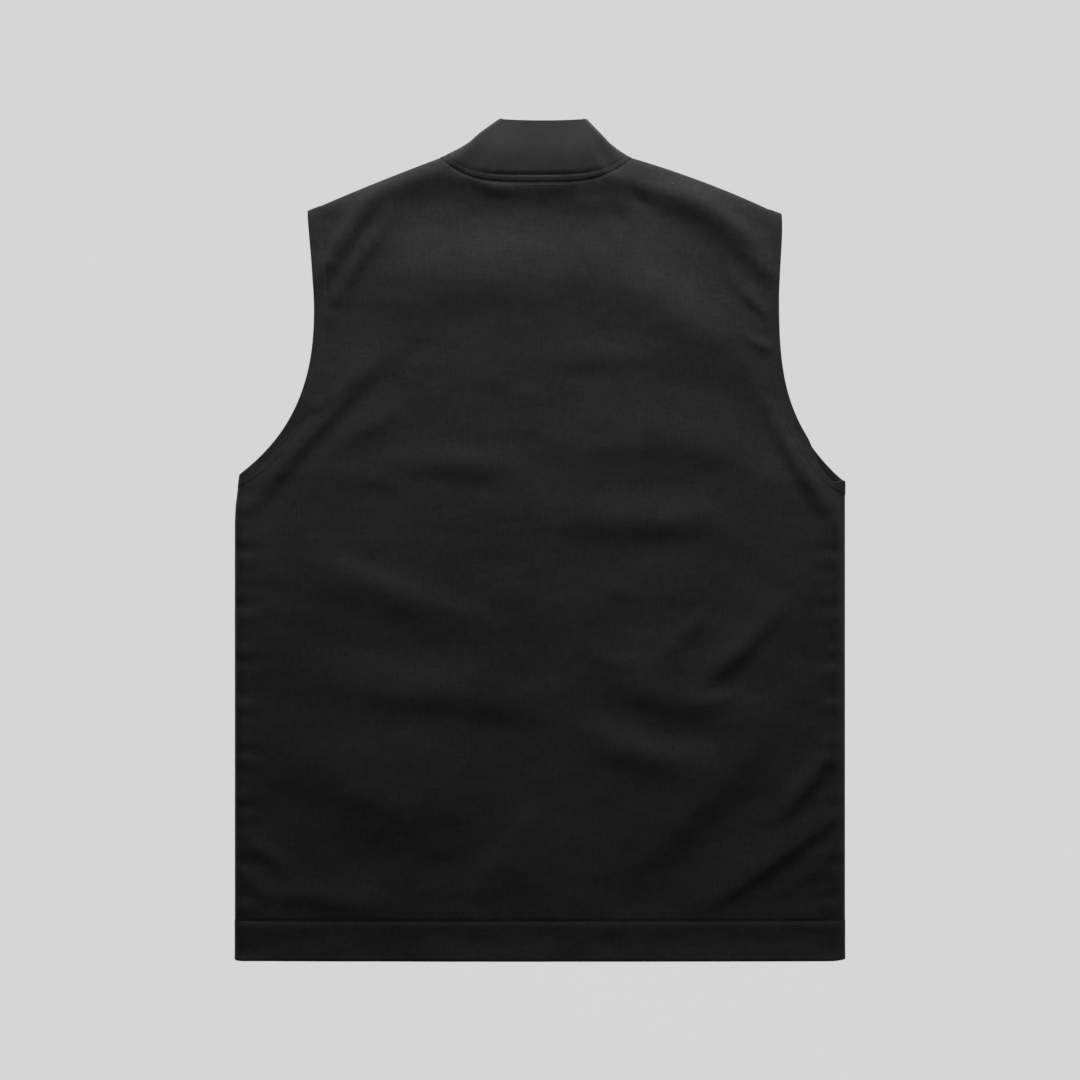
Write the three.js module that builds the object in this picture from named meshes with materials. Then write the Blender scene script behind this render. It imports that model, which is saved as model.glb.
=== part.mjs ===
import * as THREE from 'three';

// A sleeveless canvas work vest, laid flat on its front with its back upwards.
// Millimetres: +X is the right of the back, +Y runs from hem to collar, +Z is up from the floor.

// Driving dimensions
const SIDE_X = 289; // side seams, at the middle of the wall
const HEM_Y = -398.6; // bottom edge
const HEM_BAND = 38; // depth of the hem band
const ARMHOLE_BAND = 13; // width of the folded band round each armhole
const CANVAS = 2; // wall of the canvas panels
const FOLDED = 2.6; // wall of the bands, where canvas is folded on itself
const KNIT = 3.2; // wall of the doubled rib knit
const ZIP_WIDTH = 16; // closure down the middle of the front
const ZIP_THICK = 2;
const SEAM_GAP = 0.3; // clearance between sewn pieces
const SEAM_Z = 7; // height of the side and shoulder seams above the floor
const ROLL = 12; // how far in from a seam the cloth rolls over

// How the back lies
const EDGE_FALL = 0.16; // share of its height that the back loses towards the sides
const ARMHOLE_DROOP = 0.34; // share of its height that it loses at the armhole edges
const DROOP_REACH = 95; // how far in from an armhole the droop reaches
const DROOP_FADE = 80; // and how far below the underarm
const HEM_STIFFNESS = 0.6; // share of each fold that the hem seam irons out
const HEM_REACH = 26; // over this height above the seam
const COLLAR_SLANT = THREE.MathUtils.degToRad(38); // slope of the collar's side folds

// Height of the back's middle above the floor, from hem to neck
const BACK_SECTIONS = [
  { at: -400, crown: 19 },
  { at: -250, crown: 23 },
  { at: 0, crown: 26 },
  { at: 200, crown: 23 },
  { at: 340, crown: 17.5 },
];

// Folds of the back: the two ends of a crest, how far it bows to the left on the way from one to the other,
// how wide it slopes off to the left and to the right of that way, and its height (a dent is negative)
const BACK_FOLDS = [
  { fromX: -179, fromY: 226, toX: 38, toY: 258, bow: 15, left: 46, right: 42, high: 7 },
  { fromX: -19, fromY: 264, toX: 125, toY: 245, bow: 10, left: 40, right: 32, high: 5.5 },
  { fromX: -232, fromY: 128, toX: -105, toY: 205, bow: 4, left: 32, right: 13, high: 4.5 },
  { fromX: 87, fromY: 243, toX: 232, toY: 141, bow: 4, left: 28, right: 24, high: 5.5 },
  { fromX: -216, fromY: 262, toX: -58, toY: 354, bow: 30, left: 9, right: 22, high: 6 },
  { fromX: 48, fromY: 354, toX: 222, toY: 258, bow: 31, left: 10, right: 26, high: 7 },
  { fromX: -104, fromY: 352, toX: 100, toY: 352, bow: -12, left: 11, right: 17, high: 5 },
  { fromX: -150, fromY: 302, toX: 110, toY: 305, bow: 0, left: 20, right: 28, high: -2.5 },
  { fromX: -141, fromY: 72, toX: -17, toY: 70, bow: 2, left: 14, right: 14, high: 2.6 },
  { fromX: 0, fromY: 84, toX: 238, toY: 61, bow: 21, left: 34, right: 19, high: 3.4 },
  { fromX: 5, fromY: 25, toX: 198, toY: 24, bow: 2, left: 16, right: 17, high: 3 },
  { fromX: -290, fromY: 15, toX: -188, toY: 143, bow: 9, left: 15, right: 12, high: 6.5 },
  { fromX: 217, fromY: 137, toX: 293, toY: 15, bow: -8, left: 13, right: 11, high: 5.5 },
  { fromX: -213, fromY: -19, toX: -38, toY: -84, bow: -4, left: 14, right: 23, high: 3.8 },
  { fromX: -258, fromY: -137, toX: 19, toY: -156, bow: -3, left: 25, right: 21, high: 3.8 },
  { fromX: 25, fromY: -108, toX: 200, toY: -166, bow: -10, left: 17, right: 16, high: 2.8 },
  { fromX: 0, fromY: -171, toX: 173, toY: -224, bow: -5, left: 16, right: 25, high: 3.5 },
  { fromX: -179, fromY: -243, toX: 21, toY: -264, bow: 2, left: 15, right: 27, high: 2.6 },
  { fromX: -262, fromY: -184, toX: -62, toY: -296, bow: -2, left: 70, right: 35, high: 5.6 },
  { fromX: 57, fromY: -336, toX: 243, toY: -142, bow: -6, left: 38, right: 21, high: 4.4 },
  { fromX: 137, fromY: -367, toX: 300, toY: -251, bow: -4, left: 25, right: 9, high: 2.9 },
];

// Armholes and shoulders: distances out from the middle and heights up the back.
// The pulls are the handles of the curve that runs from the underarm past its hollow to the shoulder tip.
// Where the back's edge is set back from the front's, inset gives the depth. The bow is the shoulder seam's rise.
const SIDES = {
  left: {
    sign: -1, neckX: 94.5, underarmY: 56.5, lowPullX: 226, lowPullY: 103, hollowX: 214.2, hollowY: 218,
    hollowPull: 68, tipPullX: 219.5, tipPullY: 285, tipX: 220.8, tipY: 311.6, bow: 0.8, inset: 0,
  },
  right: {
    sign: 1, neckX: 86.5, underarmY: 56, lowPullX: 231, lowPullY: 108, hollowX: 226.6, hollowY: 228,
    hollowPull: 68, tipPullX: 231, tipPullY: 285, tipX: 229.5, tipY: 308.8, bow: 2.6, inset: 11,
  },
};
const UPPER_PULL = 30; // handle above the hollow
const INSET_RISE = 0.125; // share of the armhole over which an inset grows, from the underarm
const INSET_END = 0.36; // share of the armhole where it has gone again
const BAND_TURN = 0.12; // share of the armhole over which the band turns square to a seam

// Rings of the neck, from the panels' edge (0) to the collar's base (1) and its top (4).
// Each has side folds at shift - half and shift + half, a back that sags from them and a front that drops.
const NECK_SECTIONS = [
  { at: 0, half: 90.5, shift: -4, y: 362.3, sag: 23.7, power: 3.8, drop: 99.5, crown: 20 },
  { at: 1, half: 84, shift: -3.5, y: 365.2, sag: 19.7, power: 4.4, drop: 91.5, crown: 20.5 },
  { at: 1.4, half: 78, shift: -2.8, y: 368.3, sag: 16.6, power: 4.2, drop: 89.5, crown: 22.2 },
  { at: 2, half: 68, shift: -1.2, y: 374.5, sag: 11.5, power: 4, drop: 86.5, crown: 22 },
  { at: 3, half: 56, shift: 0, y: 385.5, sag: 4.5, power: 3, drop: 84.5, crown: 19 },
  { at: 4, half: 41.6, shift: 2.6, y: 398, sag: 0.5, power: 2, drop: 86.5, crown: 14.5 },
];
const BAND_LEVELS = [0.06, 0.5, 0.88]; // rows of the neck band, clear of its neighbours
const COLLAR_LEVELS = [1, 1.4, 2, 2.5, 3, 3.5, 4];

// Stations shared by pieces that are sewn together
const ROLL_STEPS = [0, 0.12, 0.45, 1]; // share of the roll at each step in from a seam
const NECK_ACROSS = [0, 0.18, 0.37, 0.55, 0.72, 0.86, 0.945, 0.985, 1]; // out from the middle of the back neck
const SIDE_SHARE = 0.6; // share of a panel's rows below the underarm
const NECK_SHARE = 0.8; // a front's inner edge leaves the closure for the neckline here
const ARMHOLE_START = [0, 0.006, 0.024, 0.056]; // stations along the armhole where it leaves the side seam
const ARMHOLE_END = [0.953, 0.979, 0.9945, 1]; // and where it reaches the shoulder seam
const ARMHOLE_LOW_STEPS = 5; // between them, up to the middle of the armhole
const ARMHOLE_HIGH_STEPS = 9; // and from there to the shoulder
const BACK_ROWS = 22; // rows of the back below the underarm
const FRONT_ROWS = 6;
const BACK_FLANK_STEPS = 7; // columns of the back from each roll to the neck point
const FRONT_STEPS = 6; // columns of a front from its roll to the closure
const BAND_ACROSS = [0, 0.5, 1]; // across a band

const MATERIALS = {
  canvas: new THREE.MeshStandardMaterial({ name: 'canvas', color: 0x222224, roughness: 0.9, metalness: 0 }),
  knit: new THREE.MeshStandardMaterial({ name: 'rib_knit', color: 0x2b2b2d, roughness: 0.95, metalness: 0 }),
  zip: new THREE.MeshStandardMaterial({ name: 'zip', color: 0x19191a, roughness: 0.6, metalness: 0 }),
};

// Small helpers
const mix = (a, b, share) => a + (b - a) * share;
const clamp = (share) => Math.min(1, Math.max(0, share));
const smooth = (share) => clamp(share) ** 2 * (3 - 2 * clamp(share));

function spread(from, to, steps) {
  return Array.from({ length: steps + 1 }, (_, step) => mix(from, to, step / steps));
}

// A row of a section table, worked out between its neighbours.
function sectionAt(table, at) {
  const last = table.length - 2;
  const found = table.findIndex((row, index) => index > last || at <= table[index + 1].at);
  const low = table[Math.min(found, last)];
  const high = table[Math.min(found, last) + 1];
  const share = clamp((at - low.at) / (high.at - low.at));
  const row = {};
  for (const column of Object.keys(low)) row[column] = mix(low[column], high[column], share);
  return row;
}

// The share of its height that cloth has risen at a distance in from a rolled seam.
function rollLift(distance) {
  const left = 1 - clamp(distance / ROLL);
  return Math.sqrt(1 - left * left);
}

// Outlines seen from above
const sideOf = (x) => (x < NECK_SECTIONS[0].shift ? SIDES.left : SIDES.right);
const sideDistance = (x) => SIDE_X - Math.abs(x);

function shoulderLine(side) {
  const neck = new THREE.Vector2(side.sign * side.neckX, NECK_SECTIONS[0].y);
  const tip = new THREE.Vector2(side.sign * side.tipX, side.tipY);
  const along = tip.clone().sub(neck).normalize();
  const outward = new THREE.Vector2(-along.y * side.sign, along.x * side.sign);
  return { neck, tip, along, outward };
}

// How far a shoulder seam rises above the straight line between its ends.
function shoulderBulge(side, x) {
  const reach = side.tipX - ARMHOLE_BAND - side.neckX;
  const share = clamp((Math.abs(x) - side.neckX) / reach);
  return side.bow * 4 * share * (1 - share);
}

function shoulderY(side, x) {
  const line = shoulderLine(side);
  return line.neck.y + ((x - line.neck.x) * line.along.y) / line.along.x + shoulderBulge(side, x);
}

function shoulderDistance(x, y) {
  const side = sideOf(x);
  return (shoulderY(side, x) - y) * shoulderLine(side).outward.y;
}

function armholeCurve(side) {
  const point = (x, y) => new THREE.Vector2(side.sign * x, y);
  const hollow = point(side.hollowX, side.hollowY);
  const curve = new THREE.CurvePath();
  curve.add(new THREE.CubicBezierCurve(
    point(SIDE_X, side.underarmY),
    point(side.lowPullX, side.lowPullY),
    point(side.hollowX, side.hollowY - side.hollowPull),
    hollow,
  ));
  curve.add(new THREE.CubicBezierCurve(
    hollow,
    point(side.hollowX, side.hollowY + UPPER_PULL),
    point(side.tipPullX, side.tipPullY),
    point(side.tipX, side.tipY),
  ));
  return curve;
}

for (const side of Object.values(SIDES)) {
  side.armhole = armholeCurve(side);
  side.outline = side.armhole.getPoints(24);
}

// How far out the armhole's edge lies at a height up the back.
function armholeReach(side, y) {
  const above = side.outline.findIndex((point) => point.y >= y);
  if (above === 0) return SIDE_X;
  if (above < 0) return side.tipX;
  const low = side.outline[above - 1];
  const high = side.outline[above];
  return Math.abs(mix(low.x, high.x, (y - low.y) / (high.y - low.y)));
}

// A point of the armhole band's plan, inset from its outer edge. At its ends the band meets the seams squarely.
function armholePoint(side, face, share, inset) {
  const edge = side.armhole.getPoint(share);
  const along = side.armhole.getTangent(share);
  const inward = new THREE.Vector2(-along.y * side.sign, along.x * side.sign);
  const line = shoulderLine(side);
  inward.lerp(new THREE.Vector2(0, -1), 1 - smooth(share / BAND_TURN));
  inward.lerp(line.along.clone().negate(), 1 - smooth((1 - share) / BAND_TURN));
  inward.normalize();
  const grown = smooth(share / INSET_RISE) * (1 - smooth((share - INSET_RISE) / (INSET_END - INSET_RISE)));
  const setBack = face === 'back' ? side.inset * grown : 0;
  return edge.addScaledVector(inward, inset + setBack);
}

// A point of the neck's plan. The back runs across from -1 to 1, the front turns from 0 at a fold to 1 at the closure.
function neckPlan(level, station) {
  const row = sectionAt(NECK_SECTIONS, level);
  if (station.face === 'back') {
    const sag = row.sag * (1 - Math.abs(station.across) ** row.power);
    return new THREE.Vector2(row.shift + row.half * station.across, row.y - sag);
  }
  const end = Math.acos((ZIP_WIDTH / 2 + SEAM_GAP - station.sign * row.shift) / row.half);
  const angle = end * station.turn;
  const x = row.shift + station.sign * row.half * Math.cos(angle);
  return new THREE.Vector2(x, row.y - row.drop * Math.sin(angle));
}

// Heights of the back and the front, at the middle of the wall
function crestHeight(fold, x, y) {
  const run = new THREE.Vector2(fold.toX - fold.fromX, fold.toY - fold.fromY);
  const place = new THREE.Vector2(x - fold.fromX, y - fold.fromY);
  const share = clamp(place.dot(run) / run.lengthSq());
  const taper = 4 * share * (1 - share);
  const across = run.cross(place) / run.length() - fold.bow * taper;
  const wide = across > 0 ? fold.left : fold.right;
  return fold.high * taper ** 1.5 * Math.exp(-((across / wide) ** 2));
}

function foldHeight(x, y) {
  const height = BACK_FOLDS.reduce((sum, fold) => sum + crestHeight(fold, x, y), 0);
  const seamY = HEM_Y + HEM_BAND;
  return height * (1 - HEM_STIFFNESS * (1 - smooth((y - seamY) / HEM_REACH)));
}

function backHeight(x, y) {
  const side = sideOf(x);
  const crown = sectionAt(BACK_SECTIONS, y).crown * (1 - EDGE_FALL * (Math.abs(x) / SIDE_X) ** 4);
  const near = 1 - smooth((armholeReach(side, y) - Math.abs(x)) / DROOP_REACH);
  const beside = smooth((y - side.underarmY + DROOP_FADE) / DROOP_FADE);
  const lying = (crown + foldHeight(x, y)) * (1 - ARMHOLE_DROOP * near * beside);
  const seam = SEAM_Z + SEAM_GAP / 2;
  return seam + (lying - seam) * rollLift(sideDistance(x)) * rollLift(shoulderDistance(x, y));
}

function frontHeight(x, y, thickness) {
  const seam = SEAM_Z - SEAM_GAP / 2;
  const lift = rollLift(sideDistance(x)) * rollLift(shoulderDistance(x, y));
  return seam - (seam - thickness / 2) * lift;
}

// A place in a wall: its middle and the way its outer face looks. On a seam the wall stands upright.
function wallPlace(face, plan, thickness) {
  const { x, y } = plan;
  const height = face === 'back' ? backHeight : frontHeight;
  const middle = new THREE.Vector3(x, y, height(x, y, thickness));
  const line = shoulderLine(sideOf(x));
  const onSeam = 0.01;
  if (sideDistance(x) < onSeam) return { middle, outward: new THREE.Vector3(Math.sign(x), 0, 0) };
  if (shoulderDistance(x, y) < onSeam) {
    return { middle, outward: new THREE.Vector3(line.outward.x, line.outward.y, 0) };
  }
  const step = 0.2;
  const slopeX = (height(x + step, y, thickness) - height(x - step, y, thickness)) / (2 * step);
  const slopeY = (height(x, y + step, thickness) - height(x, y - step, thickness)) / (2 * step);
  const outward = new THREE.Vector3(-slopeX, -slopeY, 1).normalize();
  if (face === 'front') outward.negate();
  return { middle, outward };
}

// A closed wall round a grid of places, half its thickness to each side. A ring closes on itself along its rows.
function wallGeometry(rows, thickness, ring = false) {
  const columns = rows[0].length;
  const layer = rows.length * columns;
  const positions = [];
  for (const side of [0.5, -0.5]) {
    for (const place of rows.flat()) {
      positions.push(...place.middle.clone().addScaledVector(place.outward, side * thickness).toArray());
    }
  }
  const faces = [];
  const quad = (a, b, c, d) => faces.push(a, b, c, a, c, d);
  const vertex = (row, column) => (row % rows.length) * columns + column;
  const rowCells = ring ? rows.length : rows.length - 1;
  for (let row = 0; row < rowCells; row += 1) {
    for (let column = 0; column < columns - 1; column += 1) {
      const corners = [vertex(row, column), vertex(row, column + 1),
        vertex(row + 1, column + 1), vertex(row + 1, column)];
      quad(...corners);
      quad(...corners.map((corner) => corner + layer).reverse());
    }
    for (const column of [0, columns - 1]) {
      const edge = [vertex(row, column), vertex(row + 1, column)];
      if (column > 0) edge.reverse();
      quad(edge[0], edge[1], edge[1] + layer, edge[0] + layer);
    }
  }
  for (let column = 0; column < columns - 1 && !ring; column += 1) {
    for (const row of [0, rows.length - 1]) {
      const edge = [vertex(row, column + 1), vertex(row, column)];
      if (row > 0) edge.reverse();
      quad(edge[0], edge[1], edge[1] + layer, edge[0] + layer);
    }
  }
  const geometry = new THREE.BufferGeometry();
  geometry.setAttribute('position', new THREE.Float32BufferAttribute(positions, 3));
  geometry.setIndex(enclosedVolume(positions, faces) < 0 ? faces.reverse() : faces);
  geometry.computeVertexNormals();
  return geometry;
}

function enclosedVolume(positions, faces) {
  const corner = (index) => new THREE.Vector3().fromArray(positions, 3 * faces[index]);
  let volume = 0;
  for (let face = 0; face < faces.length; face += 3) {
    volume += corner(face).dot(corner(face + 1).cross(corner(face + 2))) / 6;
  }
  return volume;
}

function piece(name, geometry, material) {
  const mesh = new THREE.Mesh(geometry, material);
  mesh.name = name;
  return mesh;
}

// Stations along the panels
const armholeStations = [
  ...ARMHOLE_START,
  ...spread(ARMHOLE_START.at(-1), 0.5, ARMHOLE_LOW_STEPS).slice(1),
  ...spread(0.5, ARMHOLE_END[0], ARMHOLE_HIGH_STEPS).slice(1),
  ...ARMHOLE_END.slice(1),
];
const upperRows = armholeStations.map((share) => mix(SIDE_SHARE, 1, share));
const panelRows = (lowerSteps) => [...spread(0, SIDE_SHARE, lowerSteps), ...upperRows.slice(1)];
const frontTurns = upperRows.filter((row) => row >= NECK_SHARE).map((row) => (1 - row) / (1 - NECK_SHARE));
const rollColumns = (width) => ROLL_STEPS.map((share) => (share * ROLL) / width);

// The outer edge of a panel: up the side seam, then along the armhole band.
function outerEdge(side, face, row) {
  const inset = ARMHOLE_BAND + SEAM_GAP;
  const foot = HEM_Y + HEM_BAND + SEAM_GAP / 2;
  if (row > SIDE_SHARE) return armholePoint(side, face, (row - SIDE_SHARE) / (1 - SIDE_SHARE), inset);
  const corner = armholePoint(side, face, 0, inset);
  return new THREE.Vector2(corner.x, mix(foot, corner.y, row / SIDE_SHARE));
}

// The back: one wall from side seam to side seam and from the hem seam to the shoulders and neck
function backColumns() {
  const top = [outerEdge(SIDES.left, 'back', 1).x, outerEdge(SIDES.right, 'back', 1).x];
  const across = [...NECK_ACROSS.slice(1).reverse().map((share) => -share), ...NECK_ACROSS];
  const neck = across.map((share) => {
    const plan = neckPlan(0, { face: 'back', across: share });
    return (plan.x - top[0]) / (top[1] - top[0]);
  });
  const roll = rollColumns(2 * SIDE_X);
  const rightRoll = roll.map((column) => 1 - column).reverse();
  return [
    ...roll,
    ...spread(roll.at(-1), neck[0], BACK_FLANK_STEPS).slice(1),
    ...neck.slice(1),
    ...spread(neck.at(-1), rightRoll[0], BACK_FLANK_STEPS).slice(1),
    ...rightRoll.slice(1),
  ];
}

// The top edge of the back at a column: along a shoulder, or along the neck.
function backTop(x) {
  const row = NECK_SECTIONS[0];
  const across = (x - row.shift) / row.half;
  if (Math.abs(across) < 1) return neckPlan(0, { face: 'back', across }).y;
  return shoulderY(sideOf(x), x);
}

function backPlan(column, row) {
  const left = outerEdge(SIDES.left, 'back', row);
  const right = outerEdge(SIDES.right, 'back', row);
  const plan = left.clone().lerp(right, column);
  const topLeft = outerEdge(SIDES.left, 'back', 1);
  const topRight = outerEdge(SIDES.right, 'back', 1);
  const level = topLeft.lerp(topRight, column);
  const climb = clamp((row - SIDE_SHARE) / (1 - SIDE_SHARE)) ** 2;
  plan.y += climb * (backTop(level.x) - level.y);
  return plan;
}

function backPanel() {
  const columns = backColumns();
  const rows = panelRows(BACK_ROWS).map((row) => columns.map(
    (column) => wallPlace('back', backPlan(column, row), CANVAS),
  ));
  return piece('back_panel', wallGeometry(rows, CANVAS), MATERIALS.canvas);
}

// The hem bands, below the hem seam
function hemBand(name, face, xs) {
  const top = HEM_Y + HEM_BAND - SEAM_GAP / 2;
  const rows = BAND_ACROSS.map((share) => xs.map(
    (x) => wallPlace(face, new THREE.Vector2(x, mix(HEM_Y, top, share)), FOLDED),
  ));
  return piece(name, wallGeometry(rows, FOLDED), MATERIALS.canvas);
}

// The fronts: from the side seam to the closure, and up to the shoulder seam and the neckline
function frontColumns() {
  const roll = rollColumns(SIDE_X - ZIP_WIDTH / 2);
  return [...roll, ...spread(roll.at(-1), 1, FRONT_STEPS).slice(1)];
}

function innerEdge(side, row) {
  const station = { face: 'front', sign: side.sign, turn: Math.min(1, (1 - row) / (1 - NECK_SHARE)) };
  const plan = neckPlan(0, station);
  if (row < NECK_SHARE) plan.y = mix(HEM_Y + HEM_BAND + SEAM_GAP / 2, plan.y, row / NECK_SHARE);
  return plan;
}

// A patch between a front's four edges, of which only the hem seam is straight.
function frontPlan(side, column, row) {
  const plan = outerEdge(side, 'front', row).lerp(innerEdge(side, row), column);
  const climb = clamp((row - NECK_SHARE) / (1 - NECK_SHARE)) ** 2;
  plan.y += climb * shoulderBulge(side, plan.x);
  return plan;
}

function frontPanel(name, side) {
  const columns = frontColumns();
  const rows = panelRows(FRONT_ROWS).map((row) => columns.map(
    (column) => wallPlace('front', frontPlan(side, column, row), CANVAS),
  ));
  return piece(`front_panel_${name}`, wallGeometry(rows, CANVAS), MATERIALS.canvas);
}

// A band round an armhole: up the back's edge, over the shoulder seam and down the front's edge
function armholeBand(name, side) {
  const stations = [
    ...armholeStations.map((share) => ({ face: 'back', share })),
    ...armholeStations.slice(1, -1).reverse().map((share) => ({ face: 'front', share })),
  ];
  const rows = stations.map(({ face, share }) => BAND_ACROSS.map(
    (across) => wallPlace(face, armholePoint(side, face, share, across * ARMHOLE_BAND), FOLDED),
  ));
  return piece(`armhole_band_${name}`, wallGeometry(rows, FOLDED, true), MATERIALS.canvas);
}

// The neck: stations from the closure round the left fold, across the back and round the right fold
const neckStations = [
  ...frontTurns.slice(0, -1).map((turn) => ({ face: 'front', sign: -1, turn })),
  ...NECK_ACROSS.slice(1).reverse().map((across) => ({ face: 'back', across: -across })),
  ...NECK_ACROSS.map((across) => ({ face: 'back', across })),
  ...frontTurns.slice(0, -1).reverse().map((turn) => ({ face: 'front', sign: 1, turn })),
];

function neckMiddle(level, station, thickness) {
  const plan = neckPlan(level, station);
  const row = sectionAt(NECK_SECTIONS, level);
  const below = (row.y - plan.y) * Math.cos(COLLAR_SLANT);
  const inside = (row.half - Math.abs(plan.x - row.shift)) * Math.sin(COLLAR_SLANT);
  const lift = rollLift(below + inside);
  const lying = station.face === 'back' ? row.crown : thickness / 2;
  let z = SEAM_Z + (lying - SEAM_Z) * lift;
  if (station.face === 'back' && level < 1) {
    const edge = neckPlan(0, station);
    z = mix(backHeight(edge.x, edge.y), z, level);
  }
  return new THREE.Vector3(plan.x, plan.y, z);
}

// The outer face of the neck at each place of a grid looks square to its rows and columns.
function neckWall(name, levels, thickness, material) {
  const grid = levels.map((level) => neckStations.map((station) => neckMiddle(level, station, thickness)));
  const rows = grid.map((line, row) => line.map((middle, column) => {
    const along = line[Math.min(column + 1, line.length - 1)].clone().sub(line[Math.max(column - 1, 0)]);
    const up = grid[Math.min(row + 1, grid.length - 1)][column].clone().sub(grid[Math.max(row - 1, 0)][column]);
    return { middle, outward: along.cross(up).normalize() };
  }));
  return piece(name, wallGeometry(rows, thickness), material);
}

// The hidden closure: one plain strip from the hem to the top of the collar
function frontZip() {
  const top = NECK_SECTIONS.at(-1).y - NECK_SECTIONS.at(-1).drop;
  const geometry = new THREE.BoxGeometry(ZIP_WIDTH, top - HEM_Y, ZIP_THICK);
  const mesh = piece('front_zip', geometry, MATERIALS.zip);
  mesh.position.set(0, (top + HEM_Y) / 2, ZIP_THICK / 2);
  return mesh;
}

const vest = new THREE.Group();
vest.add(backPanel());
vest.add(hemBand('back_hem_band', 'back', backColumns().map((column) => mix(-SIDE_X, SIDE_X, column))));
for (const [name, side] of Object.entries(SIDES)) {
  const closure = ZIP_WIDTH / 2 + SEAM_GAP;
  vest.add(frontPanel(name, side));
  const xs = frontColumns().map((column) => side.sign * mix(SIDE_X, closure, column));
  vest.add(hemBand(`front_hem_band_${name}`, 'front', xs));
  vest.add(armholeBand(name, side));
}
vest.add(neckWall('neck_band', BAND_LEVELS, FOLDED, MATERIALS.canvas));
vest.add(neckWall('rib_collar', COLLAR_LEVELS, KNIT, MATERIALS.knit));
vest.add(frontZip());

export default vest;
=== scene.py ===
import math
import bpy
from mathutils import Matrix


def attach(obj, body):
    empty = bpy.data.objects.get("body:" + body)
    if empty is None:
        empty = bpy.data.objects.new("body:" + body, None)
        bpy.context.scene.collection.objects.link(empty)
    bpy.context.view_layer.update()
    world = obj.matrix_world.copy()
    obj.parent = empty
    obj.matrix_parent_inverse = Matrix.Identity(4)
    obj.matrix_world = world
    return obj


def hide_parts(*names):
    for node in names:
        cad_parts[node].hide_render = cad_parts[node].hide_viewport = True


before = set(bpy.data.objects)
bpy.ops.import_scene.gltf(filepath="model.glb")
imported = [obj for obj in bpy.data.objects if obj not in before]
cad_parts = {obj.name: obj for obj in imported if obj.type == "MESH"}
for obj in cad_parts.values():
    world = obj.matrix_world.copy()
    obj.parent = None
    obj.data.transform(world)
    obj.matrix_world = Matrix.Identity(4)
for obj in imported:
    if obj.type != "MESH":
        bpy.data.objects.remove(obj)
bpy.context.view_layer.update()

from types import SimpleNamespace

import bpy
import numpy as np
from mathutils import Vector, noise

bl_info = {
    "name": "Canvas Work Vest",
    "version": (1, 0, 0),
    "blender": (4, 5, 0),
    "location": "View3D > Sidebar > Vest",
    "description": "Models a sleeveless canvas work vest, laid flat on its front",
    "category": "Object",
}

# Shape of the vest, in millimetres: +X is the right of the back, +Y runs from hem to collar, +Z is up
MM = 0.001
SIDE_X = 289.0  # side seams, at the middle of the wall
HEM_Y = -398.6  # bottom edge
HEM_BAND = 38.0  # depth of the hem band
SEAM_Y = HEM_Y + HEM_BAND  # hem seam
ARMHOLE_BAND = 13.0  # width of the folded band round each armhole
ZIP_WIDTH = 16.0  # closure down the middle of the front
SEAM_Z = 7.0  # height of the side and shoulder seams above the floor
SEAM_GAP = 0.3  # clearance between the back and the fronts at their seams
STITCHED_GAP = 0.12  # clearance where a band is topstitched to a panel
PANEL_FOOT = SEAM_Y + SEAM_GAP / 2  # lower edge of the panels

# How the back lies
FRONT_ROLL = 12.0  # how far in from a seam the fronts roll over
SHOULDER_ROLL = 11.5  # and the back, at the shoulders
EDGE_FALL = 0.16  # share of its height that the back loses towards the sides
EDGE_POWER = 4  # how late that fall sets in
ARMHOLE_DROOP = 0.34  # share of its height that it loses at the armhole edges
DROOP_REACH = 95.0  # how far in from an armhole the droop reaches
DROOP_FADE = 80.0  # and how far below the underarm
HEM_STIFFNESS = 0.6  # share of each fold that the hem seam irons out
HEM_REACH = 26.0  # over this height above the seam
COLLAR_SLANT = math.radians(38)  # slope of the collar's side folds
COLLAR_ROLL = 3.0  # how far in from these folds the collar rolls over
COLLAR_OWN = 2.2  # over this many rings the collar leaves the back's height for its own
HEM_GROOVE = 0.75  # depth of the groove that the hem seam draws in
NECK_GROOVE = 0.5  # and of the groove below the neck band
ARMHOLE_GROOVE = 0.35  # and of the groove along the armhole bands
GROOVE_REACH = 2.2  # half width of these grooves
HEM_DIP = 0.75  # dip along the middle of the hem band
FOLD_TAPER = 1.5  # how fast the folds run out towards their ends

# Ripples beside the seams, as height and reach
SIDE_PUCKER = (1.1, 21.0)
HEM_PUCKER = (0.3, 11.0)
ARMHOLE_PUCKER = (0.7, 8.0)
NECK_PUCKER = (0.45, 8.0)
ARMHOLE_PUCKER_IN = 6.0  # how far in from the armhole band they are highest
NECK_PUCKER_BELOW = 4.0  # and how far below the neck band
UNDERARM_FADE = 30.0  # height above the underarm over which an armhole's ripples and groove set in
ARMHOLE_WAVE_LEAN = 0.2  # how far the armholes' ripples lean over
HEM_WAVE_SHIFT = 13.0  # where along the wave the hem's ripples are read
NECK_WAVE_SHIFT = 31.0  # and the neck's
NECK_WAVE_RATE = 1.7  # how much closer together the neck's ripples are
RIPPLES = ((27.0, 0.4, 0.5), (17.3, 2.1, 0.35), (41.0, 1.1, 0.3))  # length, phase and height of each wave

# Unevenness of worn cloth, as height, size and seed of each layer
CRUMPLES = ((1.1, 75.0, 3.7), (0.45, 24.0, 8.2))
CRUMPLE_STRETCH = 1.7  # how much longer it is across the body than up it

# Height of the back's middle above the floor, from hem to neck
BACK_AT = (-400.0, -250.0, 0.0, 200.0, 340.0)
BACK_CROWN = (21.0, 23.0, 26.0, 23.0, 17.5)

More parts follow.
